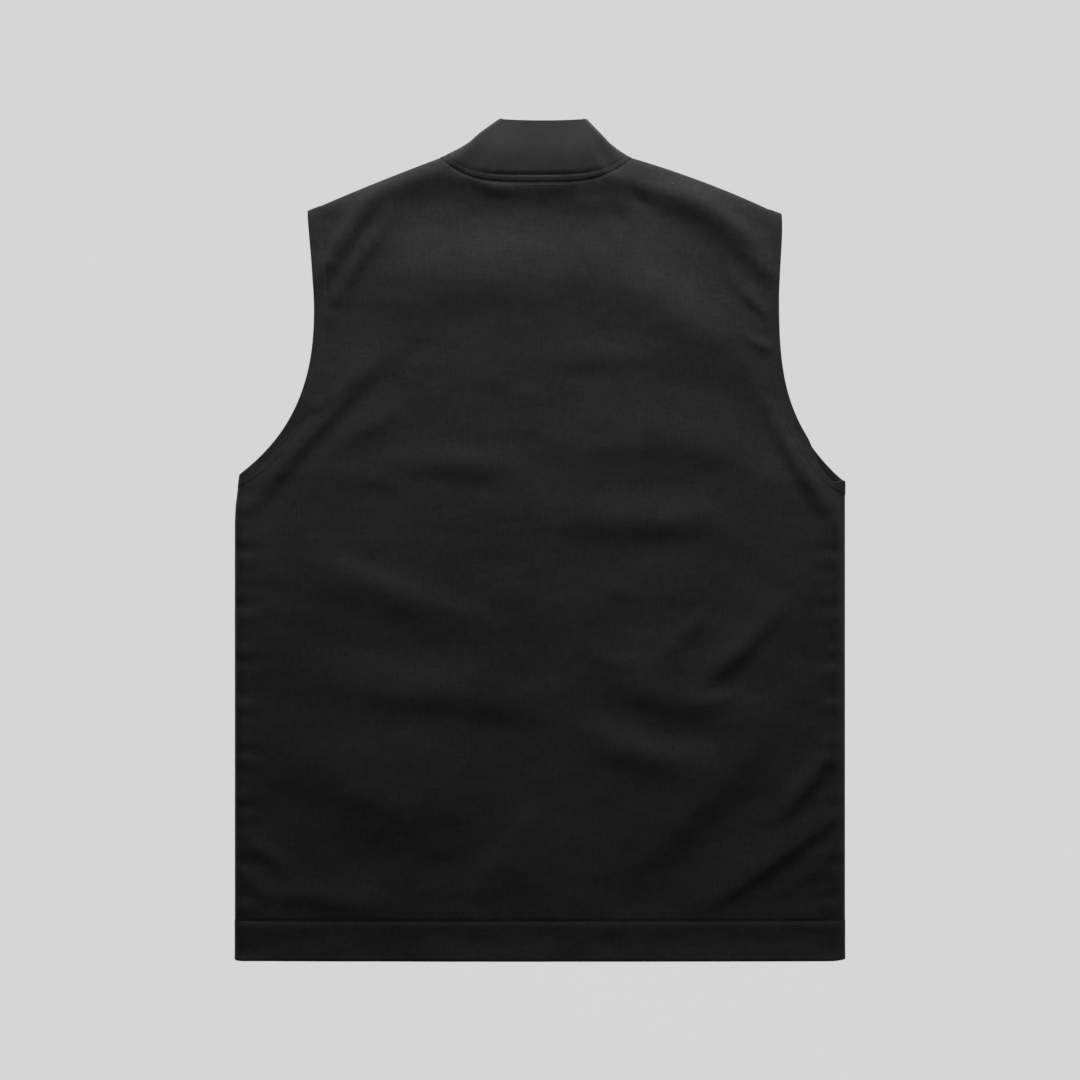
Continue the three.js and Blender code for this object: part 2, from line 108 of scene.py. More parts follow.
# Folds of the back. Each row has both ends of a crest, how far it bows to the left of the way between them,
# the half widths of its slopes on the left and on the right of that way, and its height.
FOLDS = (
    # Below the neck and behind the shoulders
    (-179, 218, 38, 252, 15, 46, 40, 7.0),
    (-19, 250, 130, 232, 10, 40, 30, 4.6),
    (-262, 94, -122, 194, 0, 30, 11, 6.0),
    (60, 258, 232, 141, 4, 28, 32, 6.6),
    (-224, 224, -146, 347, 1, 9, 11, 10.5),
    (-180, 304, -64, 360, 13, 9, 22, 7.6),
    (-208, 196, -134, 316, 5, 9, 8, 5.4),
    (47, 335, 240, 210, 44, 10, 17, 8.4),
    (180, 284, 232, 240, 0, 5, 6, 1.6),
    (165, 262, 226, 196, 3, 9, 6, 1.8),
    (188, 238, 218, 211, 0, 6, 4.5, 3.0),
    (190, 194, 223, 178, 0, 6, 4.5, 3.0),
    (-66, 339, -16, 333, -3, 4, 4, 1.7),
    (-92, 344, -36, 340, 0, 5, 7, 1.4),
    (46, 346, 102, 340, 0, 5, 7, 1.8),
    (72, 340, 116, 308, 0, 7, 9, -2.2),
    (58, 322, 84, 295, 0, 6, 7, -1.5),
    (-140, 352, 134, 352, -12, 11, 17, 5.2),
    (10, 348, 92, 350, -6, 10, 26, 2.5),
    (20, 318, 88, 312, 0, 10, 14, 2.4),
    (-120, 310, -60, 306, 0, 8, 10, 1.2),
    (-150, 302, 110, 305, 0, 20, 28, -2.5),
    # Across the shoulder blades
    (14, 173, 128, 170, 3, 19, 14, 2.4),
    (-204, 80, -120, 124, 5, 14, 9, 2.2),
    (-165, 76, 6, 63, 2, 14, 14, 2.8),
    (-211, 61, -122, 53, 4, 11, 11, 1.3),
    (0, 84, 238, 61, 21, 34, 19, 2.8),
    (-5, 15, 205, 17, 2, 18, 16, 4.2),
    (-74, 154, -21, 152, 0, 10, 11, 0.9),
    (-32, 137, 11, 139, 0, 9, 13, 0.9),
    (-57, 5, 57, 21, 0, 3, 3, 0.35),
    # From the underarms
    (-298, -4, -146, 168, 9, 12, 9, 7.5),
    (198, 165, 300, -10, -6, 12, 9, 8.0),
    (215, 120, 311, -20, -4, 14, 40, 4.2),
    # Across the waist
    (-235, -8, -38, -84, -4, 14, 23, 4.0),
    (-264, -130, 45, -152, -3, 25, 19, 4.0),
    (33, -49, 103, -51, 0, 13, 13, 1.2),
    (19, -103, 142, -122, -4, 13, 11, 1.2),
    (40, -114, 212, -171, -10, 17, 16, 2.9),
    (101, -122, 165, -55, -3, 8, 9, 1.2),
    (134, -152, 236, -50, -5, 14, 9, 3.8),
    (24, -176, 180, -222, -5, 16, 20, 4.5),
    (135, -153, 190, -148, 0, 8, 9, 2.2),
    # Above the hem
    (-150, -246, 21, -264, 2, 15, 27, 0.6),
    (-262, -180, -58, -298, 4, 75, 36, 7.2),
    (-290, -328, -110, -362, 2, 16, 9, 2.4),
    (-62, -353, 8, -250, 8, 11, 29, 2.8),
    (-300, -262, -224, -322, -2, 9, 8, 1.5),
    (-300, -296, -240, -352, -2, 8, 8, 1.2),
    (57, -336, 243, -142, -6, 38, 20, 5.2),
    (124, -374, 326, -228, 0, 18, 6, 3.3),
    (205, -346, 312, -272, -3, 10, 6, 1.0),
    (214, -275, 290, -177, -3, 12, 8, 3.6),
    # The crease down the middle
    (6, -19, 8, -345, 0, 5, 5, 0.4),
)

# Armholes and shoulders: distances out from the middle and heights up the back. The pulls are the handles of
# the curve that runs from the underarm past its hollow to the shoulder tip. bow is how far the shoulder seam
# bulges. draw is how far the side seam draws in below the underarm, and inset how far the back's edge is set
# back from the front's. roll and roll_shape say how the back turns down to the side seam.
LEFT = SimpleNamespace(
    sign=-1, neck_x=94.5, underarm_y=62.4, low_pull=(232.0, 103.0), hollow=(214.2, 218.0), hollow_pull=68.0,
    tip_pull=(219.5, 285.0), tip=(220.8, 311.6), bow=0.8, draw=4.4, inset=0.0, roll=8.0, roll_shape=2.0,
)
RIGHT = SimpleNamespace(
    sign=1, neck_x=86.5, underarm_y=56.0, low_pull=(231.0, 108.0), hollow=(226.6, 228.0), hollow_pull=68.0,
    tip_pull=(231.0, 285.0), tip=(229.5, 308.8), bow=2.6, draw=0.0, inset=9.5, roll=13.0, roll_shape=1.35,
)
SIDES = {"left": LEFT, "right": RIGHT}
UPPER_PULL = 30.0  # handle above the hollow
DRAW_AT = (-44.0, -30.0, -ARMHOLE_BAND - STITCHED_GAP, 0.0)  # heights from the underarm
DRAW_SHARE = (0.0, 0.15, 0.62, 1.0)  # and the share of its draw that a side seam has there
INSET_RISE = 0.05  # share of the armhole over which an inset grows, from the underarm
INSET_END = 0.21  # share of the armhole where it has gone again
INSET_INNER = 0.25  # share of an inset that the band's inner edge takes up
BAND_TURN = 0.12  # share of the armhole over which the band turns square to a seam

# Rings of the neck, from the panels' edge (0) to the collar's base (1) and its top (4). Each has side folds
# at shift - half and shift + half, a back that sags from them and a front that drops.
NECK_AT = (0, 1, 1.4, 2, 3, 4)
NECK_RINGS = {
    "half": (90.5, 84, 78, 68, 56, 41.6),
    "shift": (-4, -3.5, -2.8, -1.2, 0, 2.6),
    "y": (362.3, 365.2, 368.3, 374.5, 385.5, 398),
    "sag": (23.7, 19.7, 16.6, 11.5, 4.8, 1.3),
    "power": (3.8, 4.4, 4.2, 4, 3, 2),
    "drop": (99.5, 91.5, 89.5, 86.5, 84.5, 86.5),
    "crown": (20, 22.5, 24, 24.5, 21.5, 17),
}
# Height of the band and the collar's foot above the panel's edge, at these rings
NECK_RISE_AT = (0, 0.3, 0.85, 1.4, 2, 4)
NECK_RISE = (0, 0.7, 1.2, 2.0, 2.4, 2.4)
NECK_NOTCH = 1.2  # depth of the seam between the band and the collar, at its middle
NOTCH_REACH = 0.22  # and its half width in rings
SIDE_SHARE = 0.6  # share of a panel's rows below the underarm
NECK_SHARE = 0.8  # a front's inner edge leaves the closure for the neckline here

# Closure, whose middle stands up as a ridge
ZIP_RIDGE = 0.5
ZIP_RIDGE_REACH = 2.2

# Spacing of the cloth meshes
BACK_STEP = 3.3
FRONT_STEP = 8.0
FRONT_HEM_STEP = 4.0
BAND_STEP = 2.6
COLLAR_STEP = 2.4
BAND_COLUMNS = 8  # across an armhole band
ZIP_COLUMNS = 17  # across the closure
BACK_ROLL_STATIONS = 8  # columns over the back's rolled sides
FRONT_ROLL_STATIONS = 7  # and over the fronts'
NECK_FRONT_LONG = 150.0  # about how long one front of the neck is
NECK_BACK_LONG = 185.0  # and its back
NECK_BAND_LEVELS = np.linspace(0.015, 0.985, 16)  # rings of the neck band
COLLAR_LEVELS = np.linspace(1, 4, 34)  # and of the collar
SEAM_STATIONS = np.array((0.0, 0.8, 1.7, 2.7, 4.0))  # distances from a seam's groove
PANEL_ENDS = (0.003, 0.006, 0.985, 0.99, 0.995)  # shares of the armhole where a panel has extra rows
BAND_ENDS = (0.003, 0.006, 0.982, 0.986, 0.99, 0.994, 0.997)  # and where its band has them
MERGE_GAP = 0.02  # points of a closed ring that lie closer than this become one
EDGE_ROUND = 0.9  # width of the rounding along the bands' open edges
HEM_EDGE_REACH = 1.0  # how far up from the hem its open edge is looked for
OPEN_EDGE_REACH = 1.9  # and how far in from the armholes
SHARP_ANGLE = math.radians(55)  # edges sharper than this are rounded
SMOOTH_ANGLE = math.radians(48)  # and edges blunter than this are shaded smooth

# Topstitching
STITCH_LONG = 2.7
STITCH_WIDE = 0.75
STITCH_HIGH = 0.45
STITCH_PITCH = 3.5
STITCH_END = 14.0  # how far from the side seams the hem's stitching ends
HEM_STITCH = 3.6  # how far from the edges of the hem band it runs
ARMHOLE_STITCH = 2.2  # and from the inner edges of the armhole bands
NECK_STITCH = 3.2  # and below the neck band
ARMHOLE_STITCH_RUN = (0.03, 0.975, 200)  # shares of the armhole that it runs between, and its points
NECK_STITCH_RUN = (-0.93, 0.93, 120)  # and the same across the back neck
STITCH_STEP = 2.0  # spacing of the points that the hem's stitching follows
STITCH_AIM = 1.0  # half the length over which a stitch takes its direction

# Looks of the cloth
TONE_LOW = 0.36  # range of the tone that a cloth's shades are spread over
TONE_HIGH = 0.64
YARN_LONG = 45.0  # scale of the yarns' unevenness along them
YARN_FINE = 1100.0  # and across them
ROW_SHARE = 0.25  # height of the knit's rows, as a share of its ribs
RIB_PAINTED_SHADE = 0.03  # painted highlight and shade: how far the tone is raised on the ribs and lowered between them

# Stage, in metres
FLOOR_SIZE = 30.0
FLOOR_CUTS = 7
FLOOR_TONE = (0.3, 0.7)  # range of the tone that its shades are spread over
FLOOR_DARK = 0.99  # its darkest shade, as a share of its colour
KEY_PLACE = (0.08, 1.1, 0.36)  # soft light beyond the collar
KEY_TARGET = (0.0, -0.05, 0.0)
KEY_SIZE = (1.3, 0.3)
LENS = 85.0  # in millimetres, like the sensor
SENSOR = 36.0
FAR_CLIP = 100.0


# Small helpers


def mix(low, high, share):
    return low + (high - low) * share


def smooth(share):
    share = np.clip(share, 0, 1)
    return share * share * (3 - 2 * share)


def plan(x, y):
    return np.stack(np.broadcast_arrays(x, y), axis=-1).astype(float)


def unit(vectors):
    return vectors / np.linalg.norm(vectors, axis=-1, keepdims=True)


def bell(distance, reach):
    return np.exp(-((distance / reach) ** 2))


def spread(low, high, step):
    """Even stations from low to high, about a step apart."""
    return np.linspace(low, high, max(2, round(abs(high - low) / step) + 1))


def eased(table_at, table, at):
    """A smooth curve through the rows of a table."""
    slopes = np.gradient(np.array(table, float), np.array(table_at, float))
    index = np.clip(np.searchsorted(table_at, at) - 1, 0, len(table) - 2)
    start, end = np.take(table_at, index), np.take(table_at, index + 1)
    width = end - start
    share = np.clip((at - start) / width, 0, 1)
    low, high = np.take(table, index), np.take(table, index + 1)
    rise = share * (1 - share) ** 2 * width * slopes[index]
    fall = share * share * (share - 1) * width * slopes[index + 1]
    return mix(low, high, smooth(share)) + rise + fall


def ripple(along):
    """An uneven wave along a seam, from about -1 to 1."""
    return sum(high * np.sin(2 * np.pi * along / length + phase) for length, phase, high in RIPPLES)


def roll_lift(distance, reach, shape=2.0):
    """The share of its height that cloth has risen at a distance in from a rolled seam."""
    left = 1 - np.clip(distance / reach, 0, 1)
    return (1 - left**shape) ** (1 / shape)


# Outlines seen from above


def bezier(start, pull, end_pull, end, steps=160):
    share = np.linspace(0, 1, steps)[:, None]
    points = [np.array(point, float) for point in (start, pull, end_pull, end)]
    weights = ((1 - share) ** 3, 3 * share * (1 - share) ** 2, 3 * share**2 * (1 - share), share**3)
    return sum(weight * point for weight, point in zip(weights, points))


def trace_armhole(side):
    """Lays out a side's armhole edge, its shares by length, its directions and the shoulder beside it."""
    hollow_x, hollow_y = side.hollow
    below = (hollow_x, hollow_y - side.hollow_pull)
    above = (hollow_x, hollow_y + UPPER_PULL)
    low = bezier((SIDE_X - side.draw, side.underarm_y), side.low_pull, below, side.hollow)
    high = bezier(side.hollow, above, side.tip_pull, side.tip)
    side.edge = np.concatenate([low, high[1:]]) * (side.sign, 1)
    steps = np.linalg.norm(np.diff(side.edge, axis=0), axis=1)
    run = np.concatenate([[0], np.cumsum(steps)])
    side.length = run[-1]
    side.share = run / side.length
    side.along = unit(np.gradient(side.edge, run, axis=0))
    side.neck = np.array((side.sign * side.neck_x, NECK_RINGS["y"][0]))
    side.shoulder = unit(side.edge[-1] - side.neck)
    side.shoulder_long = np.linalg.norm(side.edge[-1] - side.neck) - ARMHOLE_BAND
    side.shoulder_out = np.array((-side.shoulder[1], side.shoulder[0])) * side.sign


for each_side in SIDES.values():
    trace_armhole(each_side)


def by_side(x, work):
    """What work gives for the left side where x is left of the neck's middle, and for the right elsewhere."""
    return np.where(np.asarray(x) < NECK_RINGS["shift"][0], work(LEFT), work(RIGHT))


def side_x(side, y):
    """How far out a side seam lies at a height up the back."""
    return SIDE_X - side.draw * np.interp(y - side.underarm_y, DRAW_AT, DRAW_SHARE)


def side_distance(x, y):
    return by_side(x, lambda side: side_x(side, y)) - np.abs(x)


def shoulder_bulge(side, points):
    """How far a side's shoulder seam stands out beyond a straight line, beside these points."""
    share = np.clip((points - side.neck) @ side.shoulder / side.shoulder_long, 0, 1)
    return side.bow * 4 * share * (1 - share)


def shoulder_distance(x, y):
    points = plan(x, y)
    return by_side(
        x, lambda side: (side.neck - points) @ side.shoulder_out + shoulder_bulge(side, points)
    )


def armhole_reach(side, y):
    return np.interp(y, side.edge[:, 1], np.abs(side.edge[:, 0]))


def inside_band(x, y):
    """How far a place lies inside the inner edge of an armhole band."""
    return by_side(x, lambda side: armhole_reach(side, y)) - np.abs(x) - ARMHOLE_BAND


def above_underarm(x, y):
    """Grows from 0 at the underarm to 1 above it."""
    return by_side(x, lambda side: smooth((y - side.underarm_y) / UNDERARM_FADE))


def between(share, table_share, table):
    return np.stack([np.interp(share, table_share, column) for column in table.T], axis=-1)


def armhole_point(side, face, share, inset):
    """A point of the armhole band's plan, inset from its outer edge. The band meets the seams squarely."""
    share = np.asarray(share, float)
    edge = between(share, side.share, side.edge)
    along = between(share, side.share, side.along)
    inward = plan(-along[..., 1], along[..., 0]) * side.sign
    low_end = 1 - smooth(share / BAND_TURN)[..., None]
    high_end = 1 - smooth((1 - share) / BAND_TURN)[..., None]
    lean = side.sign * side.draw * (DRAW_SHARE[-1] - DRAW_SHARE[-2]) / DRAW_AT[-2]
    inward = mix(inward, np.array((-lean, -1.0)), low_end)
    inward = unit(mix(inward, -side.shoulder, high_end))
    grown = smooth(share / INSET_RISE) * (1 - smooth((share - INSET_RISE) / (INSET_END - INSET_RISE)))
    taken = mix(1, INSET_INNER, np.clip(inset / ARMHOLE_BAND, 0, 1))
    set_back = side.inset * grown * taken if face == "back" else 0.0
    return edge + inward * np.asarray(inset + set_back)[..., None]


def neck_ring(level):
    return SimpleNamespace(**{name: eased(NECK_AT, column, level) for name, column in NECK_RINGS.items()})


def neck_across(x):
    """Where a place lies across the back neck, from -1 at its left fold to 1 at its right fold."""
    return (x - NECK_RINGS["shift"][0]) / NECK_RINGS["half"][0]


def along_neck(x):
    """1 at the middle of the back neck, and 0 from its folds on."""
    return np.clip(1 - neck_across(x) ** 2, 0, 1)


def neck_back_plan(level, across):
    """The back of the neck, from -1 at its left fold to 1 at its right fold."""
    ring = neck_ring(level)
    sag = ring.sag * (1 - np.abs(across) ** ring.power)
    return plan(ring.shift + ring.half * across, ring.y - sag)


def neck_front_plan(level, sign, turn):
    """One front of the neck, from 0 at its fold to 1 at the closure."""
    ring = neck_ring(level)
    angle = np.arccos((ZIP_WIDTH / 2 + SEAM_GAP - sign * ring.shift) / ring.half) * turn
    return plan(ring.shift + sign * ring.half * np.cos(angle), ring.y - ring.drop * np.sin(angle))


# Heights of the back and the fronts, at the middle of the wall


def crest_height(fold, x, y):
    """Height of one fold, which tapers off towards both ends of its crest."""
    start_x, start_y, end_x, end_y, bow, left_wide, right_wide, high = fold
    run_x, run_y = end_x - start_x, end_y - start_y
    long = math.hypot(run_x, run_y)
    share = np.clip(((x - start_x) * run_x + (y - start_y) * run_y) / long**2, 0, 1)
    taper = 4 * share * (1 - share)
    across = ((y - start_y) * run_x - (x - start_x) * run_y) / long - bow * taper
    wide = np.where(across > 0, left_wide, right_wide)
    return high * taper**FOLD_TAPER * bell(across, wide)


def fold_height(x, y):
    height = sum(crest_height(fold, x, y) for fold in FOLDS)
    return height * (1 - HEM_STIFFNESS * (1 - smooth((y - SEAM_Y) / HEM_REACH)))


def crumple(x, y, size, seed):
    """One layer of the cloth's unevenness: fractal noise of three octaves, each half as large as the last."""
    flat_x, flat_y = (np.ravel(part) for part in np.broadcast_arrays(x, y))
    places = (Vector((a / (CRUMPLE_STRETCH * size), b / size, seed)) for a, b in zip(flat_x, flat_y))
    heights = np.array([noise.fractal(place, 1.0, 2.0, 3) for place in places])
    return heights.reshape(np.broadcast(x, y).shape)


def pucker(shape, distance, along):
    """Ripples along a seam, which fade with the distance from it."""
    high, reach = shape
    return high * bell(distance, reach) * ripple(along)


def pucker_height(x, y):
    """Ripples that the stitching draws up beside the seams. Each seam reads its own part of the wave."""
    sides = pucker(SIDE_PUCKER, side_distance(x, y), y)
    hem = pucker(HEM_PUCKER, y - SEAM_Y, x + HEM_WAVE_SHIFT)
    inside = inside_band(x, y) - ARMHOLE_PUCKER_IN
    armholes = pucker(ARMHOLE_PUCKER, inside, y + ARMHOLE_WAVE_LEAN * x)
    below = back_top(x) - y - NECK_PUCKER_BELOW
    neck = pucker(NECK_PUCKER, below, NECK_WAVE_RATE * x + NECK_WAVE_SHIFT)
    return sides + hem + armholes * above_underarm(x, y) + neck * along_neck(x)


def groove(depth, distance):
    return -depth * bell(distance, GROOVE_REACH)


def seam_grooves(x, y):
    """Grooves that the seams draw in along the hem band, the neck band and the armhole bands."""
    hem = groove(HEM_GROOVE, y - SEAM_Y)
    neck = groove(NECK_GROOVE, back_top(x) - y)
    armholes = groove(ARMHOLE_GROOVE, inside_band(x, y))
    return hem + neck * along_neck(x) + armholes * above_underarm(x, y)


def back_height(x, y):
    crown = eased(BACK_AT, BACK_CROWN, y) * (1 - EDGE_FALL * (np.abs(x) / SIDE_X) ** EDGE_POWER)
    near = by_side(x, lambda side: 1 - smooth((armhole_reach(side, y) - np.abs(x)) / DROOP_REACH))
    beside = by_side(x, lambda side: smooth((y - side.underarm_y + DROOP_FADE) / DROOP_FADE))
    uneven = sum(high * crumple(x, y, size, seed) for high, size, seed in CRUMPLES)
    shaped = crown + fold_height(x, y) + uneven + pucker_height(x, y)
    lying = shaped * (1 - ARMHOLE_DROOP * near * beside) + seam_grooves(x, y)
    seam = SEAM_Z + SEAM_GAP / 2
    side_roll = by_side(x, lambda side: roll_lift(side_distance(x, y), side.roll, side.roll_shape))
    return seam + (lying - seam) * side_roll * roll_lift(shoulder_distance(x, y), SHOULDER_ROLL)


def front_height(x, y, wall):
    seam = SEAM_Z - SEAM_GAP / 2
    lift = roll_lift(side_distance(x, y), FRONT_ROLL) * roll_lift(shoulder_distance(x, y), FRONT_ROLL)
    return seam - (seam - wall / 2) * lift


def surface(face, points, wall):
    """Lifts a plan onto the back or the front."""
    x, y = points[..., 0], points[..., 1]
    z = back_height(x, y) if face == "back" else front_height(x, y, wall)
    return np.stack([x, y, z], axis=-1)


# The panels' plans


def above_side(row):
    """How far a row is up from the underarm, from 0 there and below to 1 at the shoulder."""
    return np.clip((row - SIDE_SHARE) / (1 - SIDE_SHARE), 0, 1)


def outer_edge(side, face, row):
    """Up the side seam, then along the inner edge of the armhole band."""
    row = np.asarray(row, float)
    inset = ARMHOLE_BAND + STITCHED_GAP
    corner = armhole_point(side, face, 0.0, inset)
    seam_y = mix(PANEL_FOOT, corner[1], np.clip(row / SIDE_SHARE, 0, 1))
    seam = plan(side.sign * side_x(side, seam_y), seam_y)
    armhole = armhole_point(side, face, above_side(row), inset)
    return np.where((row > SIDE_SHARE)[..., None], armhole, seam)


def back_top(x):
    """The top edge of the back at a place across it: along a shoulder, or along the neck."""
    across = np.clip(neck_across(x), -1, 1)
    neck = neck_back_plan(0, across)[..., 1]

    def shoulder(side):
        straight = side.neck[1] + (x - side.neck[0]) * side.shoulder[1] / side.shoulder[0]
        return straight + shoulder_bulge(side, plan(x, straight)) / side.shoulder_out[1]

    return np.where(np.abs(across) < 1, neck, by_side(x, shoulder))


def back_plan(column, row):
    across = mix(outer_edge(LEFT, "back", row), outer_edge(RIGHT, "back", row), column[..., None])
    level = mix(outer_edge(LEFT, "back", 1.0), outer_edge(RIGHT, "back", 1.0), column[..., None])
    climb = above_side(row) ** 2
    across[..., 1] += climb * (back_top(level[..., 0]) - level[..., 1])
    return across


def inner_edge(side, row):
    """Up the closure, then round the neckline."""
    turn = np.clip((1 - row) / (1 - NECK_SHARE), 0, 1)
    edge = neck_front_plan(0, side.sign, turn)
    climbing = mix(PANEL_FOOT, edge[..., 1], np.clip(row / NECK_SHARE, 0, 1))
    edge[..., 1] = np.where(row < NECK_SHARE, climbing, edge[..., 1])
    return edge


def front_plan(side, column, row):
    points = mix(outer_edge(side, "front", row), inner_edge(side, row), column[..., None])
    climb = above_side(row) ** 2
    return points + side.shoulder_out * (climb * shoulder_bulge(side, points))[..., None]


def panel_rows(step):
    """Stations up a panel, closer together at the hem seam, the underarm and the shoulder."""
    tall = LEFT.underarm_y - SEAM_Y
    lower = np.concatenate([SEAM_STATIONS / tall, np.linspace(0, 1, round(tall / step) + 1)[2:]])
    upper = np.linspace(0, 1, round(LEFT.length / step) + 1)
    upper = np.unique(np.concatenate([upper, PANEL_ENDS]))
    return np.concatenate([lower * SIDE_SHARE, mix(SIDE_SHARE, 1, upper[1:])])


def rolled(width, count):
    """Shares of a width, close together where cloth rolls over at its seam."""
    return FRONT_ROLL * (1 - np.cos(np.linspace(0, math.pi / 2, count))) / width


def back_columns():
    """Shares across the back that meet the neck points."""
    left, right = outer_edge(LEFT, "back", 1.0)[0], outer_edge(RIGHT, "back", 1.0)[0]
    width = 2 * SIDE_X
    points = (neck_back_plan(0, np.array((-1.0, 1.0)))[:, 0] - left) / (right - left)
    turned = rolled(width, BACK_ROLL_STATIONS)
    flank_left = spread(turned[-1], points[0], BACK_STEP / width)
    middle = spread(points[0], points[1], BACK_STEP / width)
    flank_right = spread(points[1], 1 - turned[-1], BACK_STEP / width)
    return np.concatenate([turned, flank_left[1:], middle[1:], flank_right[1:], 1 - turned[-2::-1]])


# Making cloth


def deselect():
    if bpy.context.object is not None and bpy.context.object.mode != "OBJECT":
        bpy.ops.object.mode_set(mode="OBJECT")
    bpy.ops.object.select_all(action="DESELECT")


def pick(piece):
    deselect()
    bpy.context.view_layer.objects.active = piece
    piece.select_set(True)


def vertex_places(mesh):
    places = np.empty(len(mesh.vertices) * 3)
    mesh.vertices.foreach_get("co", places)
    return places.reshape(-1, 3)


def lengths(points, axis):
    """Running lengths along one way of a grid of points."""
    steps = np.linalg.norm(np.diff(points, axis=axis), axis=-1)
    return np.insert(np.cumsum(steps, axis=axis), 0, 0, axis=axis)


def running_threads(points):
    """Places on a strip's threads, which run along its edges."""
    return np.stack([lengths(points, 1), lengths(points, 0)], axis=-1)


def straight_threads(points):
    """Places on a panel's threads, which run straight across it from the vest's middle and straight up it."""
    x = points[..., 0]
    across = lengths(points[..., [0, 2]], 1)
    inner = np.argmin(np.abs(x), axis=1)[:, None]
    way = np.sign(x[:, -1:] - x[:, :1])
    across = np.take_along_axis(x, inner, 1) + way * (across - np.take_along_axis(across, inner, 1))
    return np.stack([across, lengths(points[..., [1, 2]], 0)], axis=-1)


def place_points(mesh, points, threads):
    """Moves the points of a flat grid to their places, and its UV map to the threads' places in metres."""
    rows, columns = points.shape[:2]
    flat = vertex_places(mesh)
    column = np.rint((flat[:, 0] + 0.5) * (columns - 1)).astype(int)
    row = np.rint((flat[:, 1] + 0.5) * (rows - 1)).astype(int)
    mesh.vertices.foreach_set("co", np.ravel(points[row, column] * MM))
    corner = np.empty(len(mesh.loops), dtype=np.int32)
    mesh.loops.foreach_get("vertex_index", corner)
    mesh.uv_layers.active.data.foreach_set("uv", np.ravel(threads[row[corner], column[corner]] * MM))
    mesh.update()


def cloth_grid(node, points, threads):
    """A sheet of cloth through a grid of points."""
    name = f"sewn_{node}"
    rows, columns = points.shape[:2]
    deselect()
    bpy.ops.mesh.primitive_grid_add(x_subdivisions=columns - 1, y_subdivisions=rows - 1, size=1.0)
    sheet = bpy.context.object
    sheet.name = name
    sheet.data.name = name
    if len(sheet.data.vertices) != rows * columns:
        raise RuntimeError(f"{name}: the grid has {len(sheet.data.vertices)} points")
    place_points(sheet.data, points, threads)
    return sheet


def close_ring(sheet):
    """Joins the two ends of a band that runs all the way round."""
    pick(sheet)
    bpy.ops.object.mode_set(mode="EDIT")
    bpy.ops.mesh.select_all(action="SELECT")
    bpy.ops.mesh.remove_doubles(threshold=MERGE_GAP * MM)
    bpy.ops.object.mode_set(mode="OBJECT")


def thicken(sheet, wall):
    """Gives a sheet its wall, half to each side."""
    solid = sheet.modifiers.new("Wall", "SOLIDIFY")
    solid.thickness = wall
    solid.offset = 0.0
    solid.use_even_offset = True
    bpy.context.view_layer.objects.active = sheet
    bpy.ops.object.modifier_apply(modifier=solid.name)


def sharp_edges(mesh):
    """The edges at which two faces meet at a sharp angle."""
    normals = {}
    for face in mesh.polygons:
        for key in face.edge_keys:
            normals.setdefault(key, []).append(face.normal)
    limit = math.cos(SHARP_ANGLE)
    for edge in mesh.edges:
        beside = normals.get(edge.key, ())
        if len(beside) == 2 and beside[0].dot(beside[1]) < limit:
            yield edge


def round_edges(sheet, chosen, width):
    """Rounds the sharp edges whose ends are both chosen by their place, in millimetres."""
    picked = chosen(vertex_places(sheet.data) / MM)
    pick(sheet)
    bpy.ops.object.mode_set(mode="EDIT")
    bpy.ops.mesh.select_mode(type="EDGE")
    bpy.ops.mesh.select_all(action="DESELECT")
    bpy.ops.object.mode_set(mode="OBJECT")
    for edge in sharp_edges(sheet.data):
        edge.select = bool(picked[list(edge.vertices)].all())
    bpy.ops.object.mode_set(mode="EDIT")
    bpy.ops.mesh.bevel(offset=width, segments=2, affect="EDGES", clamp_overlap=True)
    bpy.ops.object.mode_set(mode="OBJECT")


def soften(sheet):
    pick(sheet)
    bpy.ops.object.shade_smooth_by_angle(angle=SMOOTH_ANGLE)


def flat_cut(points):
    """The size that a sheet was cut to and its area, in metres."""
    width = float(lengths(points, 1)[:, -1].max() * MM)
    length = float(lengths(points, 0)[-1].max() * MM)
    down, along = np.diff(points, axis=0)[:, :-1], np.diff(points, axis=1)[:-1]
    area = float(np.linalg.norm(np.cross(down, along), axis=-1).sum() * MM * MM)
    return (width, length), min(area, width * length)


def declare(sheet, points):
    """Works out the size that a finished sheet was cut to and its area, which are not used further, attaches
    the sheet to the root and hides the imported part that it replaces.
    """
    flat, area = flat_cut(points)
    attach(sheet, "root")
    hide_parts(sheet.name.removeprefix("sewn_"))


def dress(sheet, material):
    sheet.data.materials.clear()
    sheet.data.materials.append(material)


def sew(
    node, points, wall, material,
    threads=straight_threads, ring=False, open_edge=None,
):
    """Makes one finished piece of cloth. Its sharp edges are rounded where open_edge picks both ends."""
    sheet = cloth_grid(node, points, threads(points))
    if ring:
        close_ring(sheet)
    thicken(sheet, wall)
    if open_edge is not None:
        round_edges(sheet, open_edge, EDGE_ROUND * MM)
    soften(sheet)
    dress(sheet, material)
    declare(sheet, points)


# Shader helpers


def add_node(tree, kind, **settings):
    node = tree.nodes.new(kind)
    for name, value in settings.items():
        setattr(node, name, value)
    return node


def feed(tree, socket, source):
    if isinstance(source, (int, float)):
        socket.default_value = source
    else:
        tree.links.new(source, socket)


def work_out(tree, operation, first, second=0.0):
    node = add_node(tree, "ShaderNodeMath", operation=operation)
    feed(tree, node.inputs[0], first)
    feed(tree, node.inputs[1], second)
    return node.outputs[0]


def average(tree, first, second):
    return work_out(tree, "MULTIPLY", work_out(tree, "ADD", first, second), 0.5)


def ranged(tree, source, low, high, new_low, new_high):
    node = add_node(tree, "ShaderNodeMapRange")
    tree.links.new(source, node.inputs["Value"])
    for name, value in (("From Min", low), ("From Max", high), ("To Min", new_low), ("To Max", new_high)):
        node.inputs[name].default_value = value
    return node.outputs["Result"]


